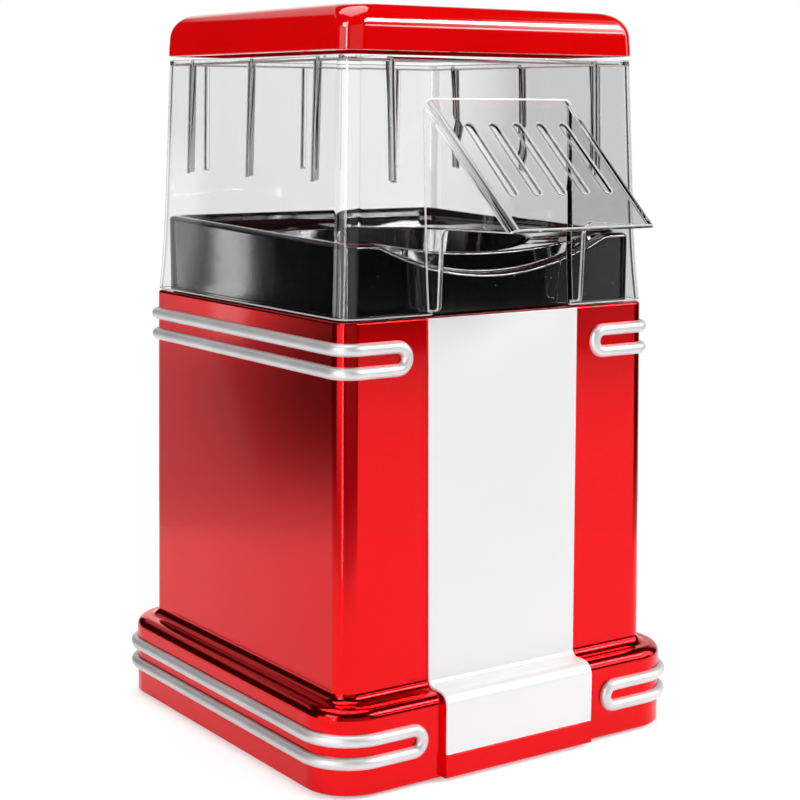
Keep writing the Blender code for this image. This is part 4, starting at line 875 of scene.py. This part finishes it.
def hood():
    """The clear hood. Most ribs and the slots are tinted dark, a painted shade for the dark lines they
    show, and its rounded edges get a paler half-frosted finish, a painted highlight for their bright lines.
    """
    obj = hood_walls()
    obj.data.materials.append(CLEAR)
    combine(obj, hood_ribs() + [spout_outer()], "UNION")
    combine(obj, [spout_inner()], "DIFFERENCE")
    combine(obj, vent_slots(), "DIFFERENCE")
    obj.name = "hood_clear"
    # The rounded edge strips take the half-frosted finish, a painted highlight along the hood's edges.
    finish_piece(tidy(obj), CLEAR, "hood", ["hood"], 42, HOOD_EDGE, CLEAR_EDGE_PAINTED_HIGHLIGHT)


# ---------------------------------------------------------------- lid

def lid_profile():
    """(inset, height) points up the lid's side, round its shoulder and in to the crown."""
    edge = LID_RIM_EDGE
    made = [(edge, 0.0), (0.0, edge), (0.0001, LID_SIDE * 0.6), (edge, LID_SIDE)]
    for step in range(1, SHOULDER_STEPS + 1):
        angle = math.pi / 2 * step / SHOULDER_STEPS
        inset = edge + SHOULDER_IN * (1 - math.cos(angle)) ** 1.15
        made.append((inset, LID_SIDE + SHOULDER_UP * math.sin(angle) ** 1.05))
    crown = LID_HEIGHT - LID_SIDE - SHOULDER_UP
    for share in (0.25, 0.5, 0.75, 1.0):
        height = LID_SIDE + SHOULDER_UP + crown * (1 - (1 - share) ** 2)
        made.append((SHOULDER_IN + edge + CROWN_IN * share, height))
    return made


def lid_rings(offset):
    """The lid's rings from its lower edge up, an offset in from its outside."""
    half_x, half_y = (half + LID_OVERHANG for half in hood_half(HOOD_TOP))
    made = []
    for inset, height in lid_profile():
        corner = max(LEAST_CORNER, LID_CORNER - offset + min(inset, GROWTH_END) * CORNER_GROWTH)
        z = LID_BOTTOM + height * (1 - offset / LID_HEIGHT)
        made.append(ring(half_x - inset - offset, half_y - inset - offset, corner, z))
    return made


def lid_shell():
    """The outside and the lining, each capped by its crown and joined by the lid's lower edge."""
    outer = lid_rings(0.0)
    obj = loft("lid_outer", outer, cap_last=True)
    lining = loft("lid_inner", lid_rings(LID_WALL), cap_last=True)
    made = bmesh.new()
    made.from_mesh(obj.data)
    made.from_mesh(lining.data)
    made.verts.ensure_lookup_table()
    count = len(outer[0])
    second = len(outer) * count
    for face in list(made.faces)[len(obj.data.polygons):]:
        face.normal_flip()
    for i in range(count):
        j = (i + 1) % count
        made.faces.new([made.verts[k] for k in (i, second + i, second + j, j)])
    bmesh.ops.recalc_face_normals(made, faces=made.faces)
    made.to_mesh(obj.data)
    made.free()
    bpy.data.objects.remove(lining)
    return obj


def lid():
    """The red lid, with the skirt inside it that centres it on the hood's rim."""
    obj = lid_shell()
    skirt_x, skirt_y = (half - HOOD_RIM - SKIRT_CLEARANCE for half in hood_half(HOOD_TOP))
    corner = HOOD_CORNER - HOOD_RIM
    low, high = LID_BOTTOM + TIGHT_GAP, LID_BOTTOM + LID_HEIGHT * 0.83
    walls = [ring(skirt_x, skirt_y, corner, z) for z in (low, high)]
    skirt_x -= SKIRT_WALL
    skirt_y -= SKIRT_WALL
    walls += [ring(skirt_x, skirt_y, corner - 0.0012, z) for z in (high, low)]
    combine(obj, [loft("skirt", walls, closed=True)], "UNION")
    obj.name = "lid_red"
    finish_piece(tidy(obj), LID_RED, "lid", ["lid"], 32)


# ---------------------------------------------------------------- deck

def deck_rim(x, y):
    """Height of the rim, which rises to the back and dips in the middle of the front."""
    half_y = hood_half(DECK_RIM_FRONT)[1]
    level = DECK_RIM_FRONT + (DECK_RIM_BACK - DECK_RIM_FRONT) * (y + half_y) / (2 * half_y)
    if y > -half_y * 0.6 or abs(x) >= DIP_HALF_WIDTH:
        return level
    return DIP_BOTTOM + (level - DIP_BOTTOM) * (x / DIP_HALF_WIDTH) ** 2


def deck_crest(x, y):
    """Height of the scoop's foot, behind the dip in the rim."""
    level = deck_rim(DIP_HALF_WIDTH, y)
    return CREST_BOTTOM + (level - CREST_BOTTOM) * min(1.0, abs(x) / DIP_HALF_WIDTH) ** 2


def in_scoop(x, y):
    """Whether a point is behind the dip in the front rim."""
    return y < SCOOP_Y and abs(x) < DIP_HALF_WIDTH


def deck_shelf(x, y):
    """The flat shelf round the chamber, which stays under the scoop's foot."""
    return min(DECK_SHELF, deck_crest(x, y) - 0.0008) if in_scoop(x, y) else DECK_SHELF


def scoop_slope(share):
    """Height down the scoop's slope, from the rim at 0 to the foot at 1."""
    return lambda x, y: deck_rim(x, y) * (1 - share) + deck_crest(x, y) * share


def lowered(height, drop):
    """The same height function, a drop lower."""
    return lambda x, y: height(x, y) - drop


def deck_ring(half_x, half_y, corner, z):
    """A ring with extra points along each side, so that the dip comes out smooth."""
    made = []
    points = ring(half_x, half_y, corner, z, steps=DECK_CORNER_STEPS)
    for i, point in enumerate(points):
        made.append(point)
        if i % (DECK_CORNER_STEPS + 1) == DECK_CORNER_STEPS:
            after = points[(i + 1) % len(points)]
            for step in range(1, SIDE_STOPS + 1):
                x, y = (point.lerp(after, step / (SIDE_STOPS + 1))).xy
                made.append(Vector((x, y, z(x, y) if callable(z) else z)))
    return made


def circle_ring(radius, z):
    """A circle with as many points as a deck ring, which starts in the middle of its first corner."""
    count = 4 * (DECK_CORNER_STEPS + 1 + SIDE_STOPS)
    start = math.pi / 4 - DECK_CORNER_STEPS / 2 * 2 * math.pi / count
    made = []
    for i in range(count):
        bearing = start + 2 * math.pi * i / count
        x, y = radius * math.cos(bearing), radius * math.sin(bearing)
        made.append(Vector((x, y, z(x, y) if callable(z) else z)))
    return made


def deck_rings():
    """The deck's rings in order: up the outside, over the rounded rim, down the scoop or the inner wall,
    and along the dished shelf to the funnel and the chamber's hole.
    """
    half_x, half_y = (half - HOOD_WALL - DECK_CLEARANCE for half in hood_half(DECK_RIM_BACK))
    corner = HOOD_CORNER - HOOD_WALL - DECK_CLEARANCE

    def over(inset, drop, more=0.0):
        return deck_ring(half_x - inset, half_y - inset, corner + more, lowered(deck_rim, drop))

    def inside(inset, in_front, elsewhere):
        def height(x, y):
            return in_front(x, y) if in_scoop(x, y) else elsewhere

        return deck_ring(half_x - inset, half_y - inset, max(corner, 0.006) + inset * 0.3, height)

    shelf_edge = DECK_SHELF + DISH_RISE
    rings = [deck_ring(half_x, half_y, corner, DECK_BOTTOM)]
    for step in range(RIM_STEPS + 1):
        angle = math.pi / 2 * step / RIM_STEPS
        rings.append(over(RIM_ROUND * (1 - math.cos(angle)), RIM_ROUND * (1 - math.sin(angle))))
    return rings + [
        over(0.0029, 0.0002, 0.0009),
        inside(0.0034, lowered(deck_rim, -0.0001), shelf_edge + 0.0016),
        inside(0.0038, scoop_slope(0.10), shelf_edge + 0.0008),
        inside(0.0043, scoop_slope(0.85), shelf_edge + 0.0003),
        inside(CREST_INSET - 0.0006, lowered(deck_crest, 0.0003), shelf_edge),
        inside(CREST_INSET, deck_crest, shelf_edge),
        inside(CREST_INSET + 0.0007, lowered(deck_crest, 0.0002), shelf_edge - 0.0001),
        inside(CREST_INSET + 0.0025, deck_shelf, shelf_edge - 0.0004),
        circle_ring(FUNNEL_RADIUS, deck_shelf),
        circle_ring(FUNNEL_RADIUS - 0.0007, lowered(deck_shelf, 0.0003)),
        circle_ring(FUNNEL_RADIUS - 0.0010, lowered(deck_shelf, 0.0010)),
        circle_ring(FUNNEL_RADIUS - 0.0036, DECK_LIP + 0.0014),
        circle_ring(FUNNEL_RADIUS - 0.0046, DECK_LIP + 0.0004),
        circle_ring(CHAMBER_RADIUS + CHAMBER_FLANGE + 0.0012, DECK_LIP),
        circle_ring(CHAMBER_HOLE, DECK_LIP),
    ]


def deck():
    """The black deck, an even wall under its upper surface."""
    obj = loft("deck_black", deck_rings())
    solidify = obj.modifiers.new("wall", "SOLIDIFY")
    solidify.thickness = DECK_WALL
    solidify.offset = -1.0
    evaluated(obj)
    finish_piece(obj, BLACK, "base", ["deck"], 38)


# ---------------------------------------------------------------- nodes that stay as they are

def dress_nodes():
    """Every CAD node that stays gets the finish of its material slot."""
    slots = {entry["node"]: entry["material_slot"] for entry in frame["record"]["subparts"]}
    for name, node in frame["nodes"].items():
        node.data.materials.clear()
        node.data.materials.append(NODE_FINISHES[slots[name]])
        node.data.shade_smooth()
        node.data.set_sharp_from_angle(angle=NODE_SHARP_ANGLE)


# ---------------------------------------------------------------- stage, light and camera

def stage():
    """A round white floor, which the camera sees brighter than reflections do."""
    low = -FLOOR_THICKNESS
    floor = turned("floor", [(0.0, 0.0), (FLOOR_RADIUS, 0.0), (FLOOR_RADIUS, low), (0.0, low)], 128)
    made, tree, shader = new_material("floor_white")
    drift = noise(tree, 3, 2.0)
    whites = [(0.3, (0.90, 0.90, 0.90)), (0.7, (0.92, 0.92, 0.92))]
    tree.links.new(ramp(tree, drift, whites), shader.inputs["Base Color"])
    shader.inputs["Roughness"].default_value = 0.9
    shader.inputs["Specular IOR Level"].default_value = 0.1
    shader.inputs["Emission Color"].default_value = (0.42, 0.42, 0.42, 1.0)
    paths = add(tree, "ShaderNodeLightPath")
    glow = between(tree, paths.outputs["Is Camera Ray"], 0.30, 1.0)
    tree.links.new(glow, shader.inputs["Emission Strength"])
    floor.data.materials.append(made)


# Bearings are degrees from straight back, positive to the right; heights are degrees above the horizon.
# Each panel has a name, bearings, heights, the width of its soft edges each way, and a strength. Below
# SWEEP_BEND the one named slanted moves left by SWEEP_SLANT degrees for each degree further down.
STUDIO_DIM = 0.01
SWEEP_BEND = -5.0
SWEEP_SLANT = 0.34
SOFT_PANELS = [
    ("slanted", (-28.7, 12.0), (-24.0, 1.6), (0.8, 2.0), 0.64),
    ("back", (4.0, 42.0), (-24.0, 34.0), (6.0, 12.0), 1.05),
    ("back_right", (30.0, 80.0), (-24.0, 34.0), (8.0, 12.0), 0.76),
    ("back_strip", (-38.0, 38.0), (27.0, 36.0), (4.0, 2.0), 0.5),
    ("table", (-190.0, 190.0), (-95.0, -9.5), (1.0, 4.0), 0.90),
    ("back_light", (-30.0, -22.0), (-7.0, -2.6), (0.9, 1.2), 0.45),
    ("back_edge", (-30.0, -28.4), (-7.0, -2.6), (0.5, 1.2), 3.7),
    ("room_left", (-190.0, -128.0), (-14.0, 30.0), (8.0, 10.0), 0.35),
    ("room_right", (158.0, 190.0), (-14.0, 30.0), (8.0, 10.0), 0.35),
    ("left_box", (-122.0, -74.0), (-14.0, 24.0), (5.0, 10.0), 1.4),
    ("left_strip", (-119.0, -111.0), (-30.0, 45.0), (2.0, 8.0), 9.0),
    ("lid_corner", (-119.0, -113.0), (4.0, 15.0), (2.5, 3.0), 14.0),
    ("lid_streak", (116.0, 152.0), (14.5, 19.0), (12.0, 1.6), 11.0),
    ("lid_wedge", (106.0, 144.0), (13.0, 27.0), (10.0, 3.0), 4.0),
    ("lid_second", (104.0, 141.0), (23.5, 26.5), (9.0, 0.9), 11.0),
    ("lid_glow", (98.0, 132.0), (11.0, 42.0), (10.0, 3.0), 3.5),
    ("front_room", (126.0, 156.0), (-13.0, -6.3), (4.0, 0.5), 1.30),
    ("deck_right", (130.0, 141.0), (-6.8, -1.0), (1.6, 1.0), 0.55),
    ("right_box", (98.0, 118.0), (-5.0, 50.0), (6.0, 10.0), 1.6),
    ("overhead", (-190.0, 190.0), (60.0, 95.0), (0.5, 14.0), 0.45),
]


def studio_world():
    """A dim studio with soft panels that draw the highlights. The camera itself sees plain white."""
    world = bpy.data.worlds.new("studio")
    bpy.context.scene.world = world
    world.use_nodes = True
    tree = world.node_tree
    tree.nodes.clear()
    place = add(tree, "ShaderNodeTexCoord")
    split = add(tree, "ShaderNodeSeparateXYZ")
    tree.links.new(place.outputs["Generated"], split.inputs["Vector"])

    def maths(operation, first, second=None):
        """One operation on one or two values, each a number or a socket."""
        node = add(tree, "ShaderNodeMath", operation=operation)
        for socket, value in zip(node.inputs, (first, second)):
            if isinstance(value, float):
                socket.default_value = value
            elif value is not None:
                tree.links.new(value, socket)
        return node.outputs["Value"]

    bearing = maths("MULTIPLY", maths("ARCTAN2", split.outputs["X"], split.outputs["Y"]), 180 / math.pi)
    height = maths("MULTIPLY", maths("ARCSINE", split.outputs["Z"]), 180 / math.pi)

    def between_edges(value, low, high, soft):
        """1 between low and high, and 0 outside, with soft edges inside them."""
        rise = add(tree, "ShaderNodeMapRange", interpolation_type="SMOOTHSTEP")
        fall = add(tree, "ShaderNodeMapRange", interpolation_type="SMOOTHSTEP")
        for node, start, end in ((rise, low, low + soft), (fall, high, high - soft)):
            tree.links.new(value, node.inputs["Value"])
            node.inputs["From Min"].default_value = start
            node.inputs["From Max"].default_value = end
        return maths("MULTIPLY", rise.outputs["Result"], fall.outputs["Result"])

    # The brightest panel counts where two overlap.
    total = None
    below = maths("MAXIMUM", maths("SUBTRACT", SWEEP_BEND, height), 0.0)
    slanted = maths("ADD", bearing, maths("MULTIPLY", below, SWEEP_SLANT))
    for name, bearings, heights, soft, strength in SOFT_PANELS:
        across = between_edges(slanted if name == "slanted" else bearing, *bearings, soft[0])
        up = between_edges(height, *heights, soft[1])
        panel = maths("MULTIPLY", maths("MULTIPLY", across, up), strength)
        total = panel if total is None else maths("MAXIMUM", total, panel)
    total = maths("ADD", total, STUDIO_DIM)
    light = add(tree, "ShaderNodeBackground")
    light.inputs["Color"].default_value = (1.0, 1.0, 1.0, 1.0)
    tree.links.new(total, light.inputs["Strength"])
    seen = add(tree, "ShaderNodeBackground", in_Strength=1.0)
    seen.inputs["Color"].default_value = (1.0, 1.0, 1.0, 1.0)
    paths = add(tree, "ShaderNodeLightPath")
    pick = add(tree, "ShaderNodeMixShader")
    tree.links.new(paths.outputs["Is Camera Ray"], pick.inputs["Fac"])
    tree.links.new(light.outputs["Background"], pick.inputs[1])
    tree.links.new(seen.outputs["Background"], pick.inputs[2])
    out = add(tree, "ShaderNodeOutputWorld")
    tree.links.new(pick.outputs["Shader"], out.inputs["Surface"])


def lamp(name, place, target, size, power):
    """A soft rectangular lamp that faces its target and doesn't show itself."""
    data = bpy.data.lights.new(name, "AREA")
    data.shape = "RECTANGLE"
    data.size, data.size_y = size
    data.energy = power
    made = bpy.data.objects.new(name, data)
    bpy.context.scene.collection.objects.link(made)
    made.location = place
    made.rotation_mode = "QUATERNION"
    made.rotation_quaternion = (Vector(target) - Vector(place)).to_track_quat("-Z", "Y")
    made.visible_camera = False


def lamps():
    """A key from the front right, a small fill from the left and a wide one overhead."""
    lamp("key", (1.05, -1.25, 1.25), (0, 0, 0.12), (0.9, 0.3), 18)
    lamp("left_fill", (-1.6, -0.35, 1.1), (0, 0, 0.12), (0.5, 0.5), 9)
    lamp("top", (0.0, 0.2, 1.5), (0, 0, 0), (1.2, 1.2), 12)


SENSOR_WIDTH = 36.0
LENS = 81.1
CAMERA_PLACE = Vector((-0.4368, -0.6399, 0.2629))
CAMERA_YAW, CAMERA_PITCH, CAMERA_ROLL = (math.radians(angle) for angle in (34.546, 9.218, 0.281))


def camera():
    """The photograph's view: a long lens, well to the left of the front, looking slightly down."""
    data = bpy.data.cameras.new("camera")
    data.sensor_width = SENSOR_WIDTH
    data.lens = LENS
    made = bpy.data.objects.new("camera", data)
    bpy.context.scene.collection.objects.link(made)
    level = math.cos(CAMERA_PITCH)
    ahead = Vector((math.sin(CAMERA_YAW) * level, math.cos(CAMERA_YAW) * level, -math.sin(CAMERA_PITCH)))
    made.location = CAMERA_PLACE + SHIFT
    made.rotation_mode = "QUATERNION"
    roll = Matrix.Rotation(CAMERA_ROLL, 3, "Z")
    made.rotation_quaternion = (ahead.to_track_quat("-Z", "Y").to_matrix() @ roll).to_quaternion()
    bpy.context.scene.camera = made


def main():
    dress_nodes()
    case_shell()
    front_panel()
    trims()
    hood()
    lid()
    deck()
    stage()
    studio_world()
    lamps()
    camera()
    bpy.context.scene.view_settings.view_transform = "Standard"


main()
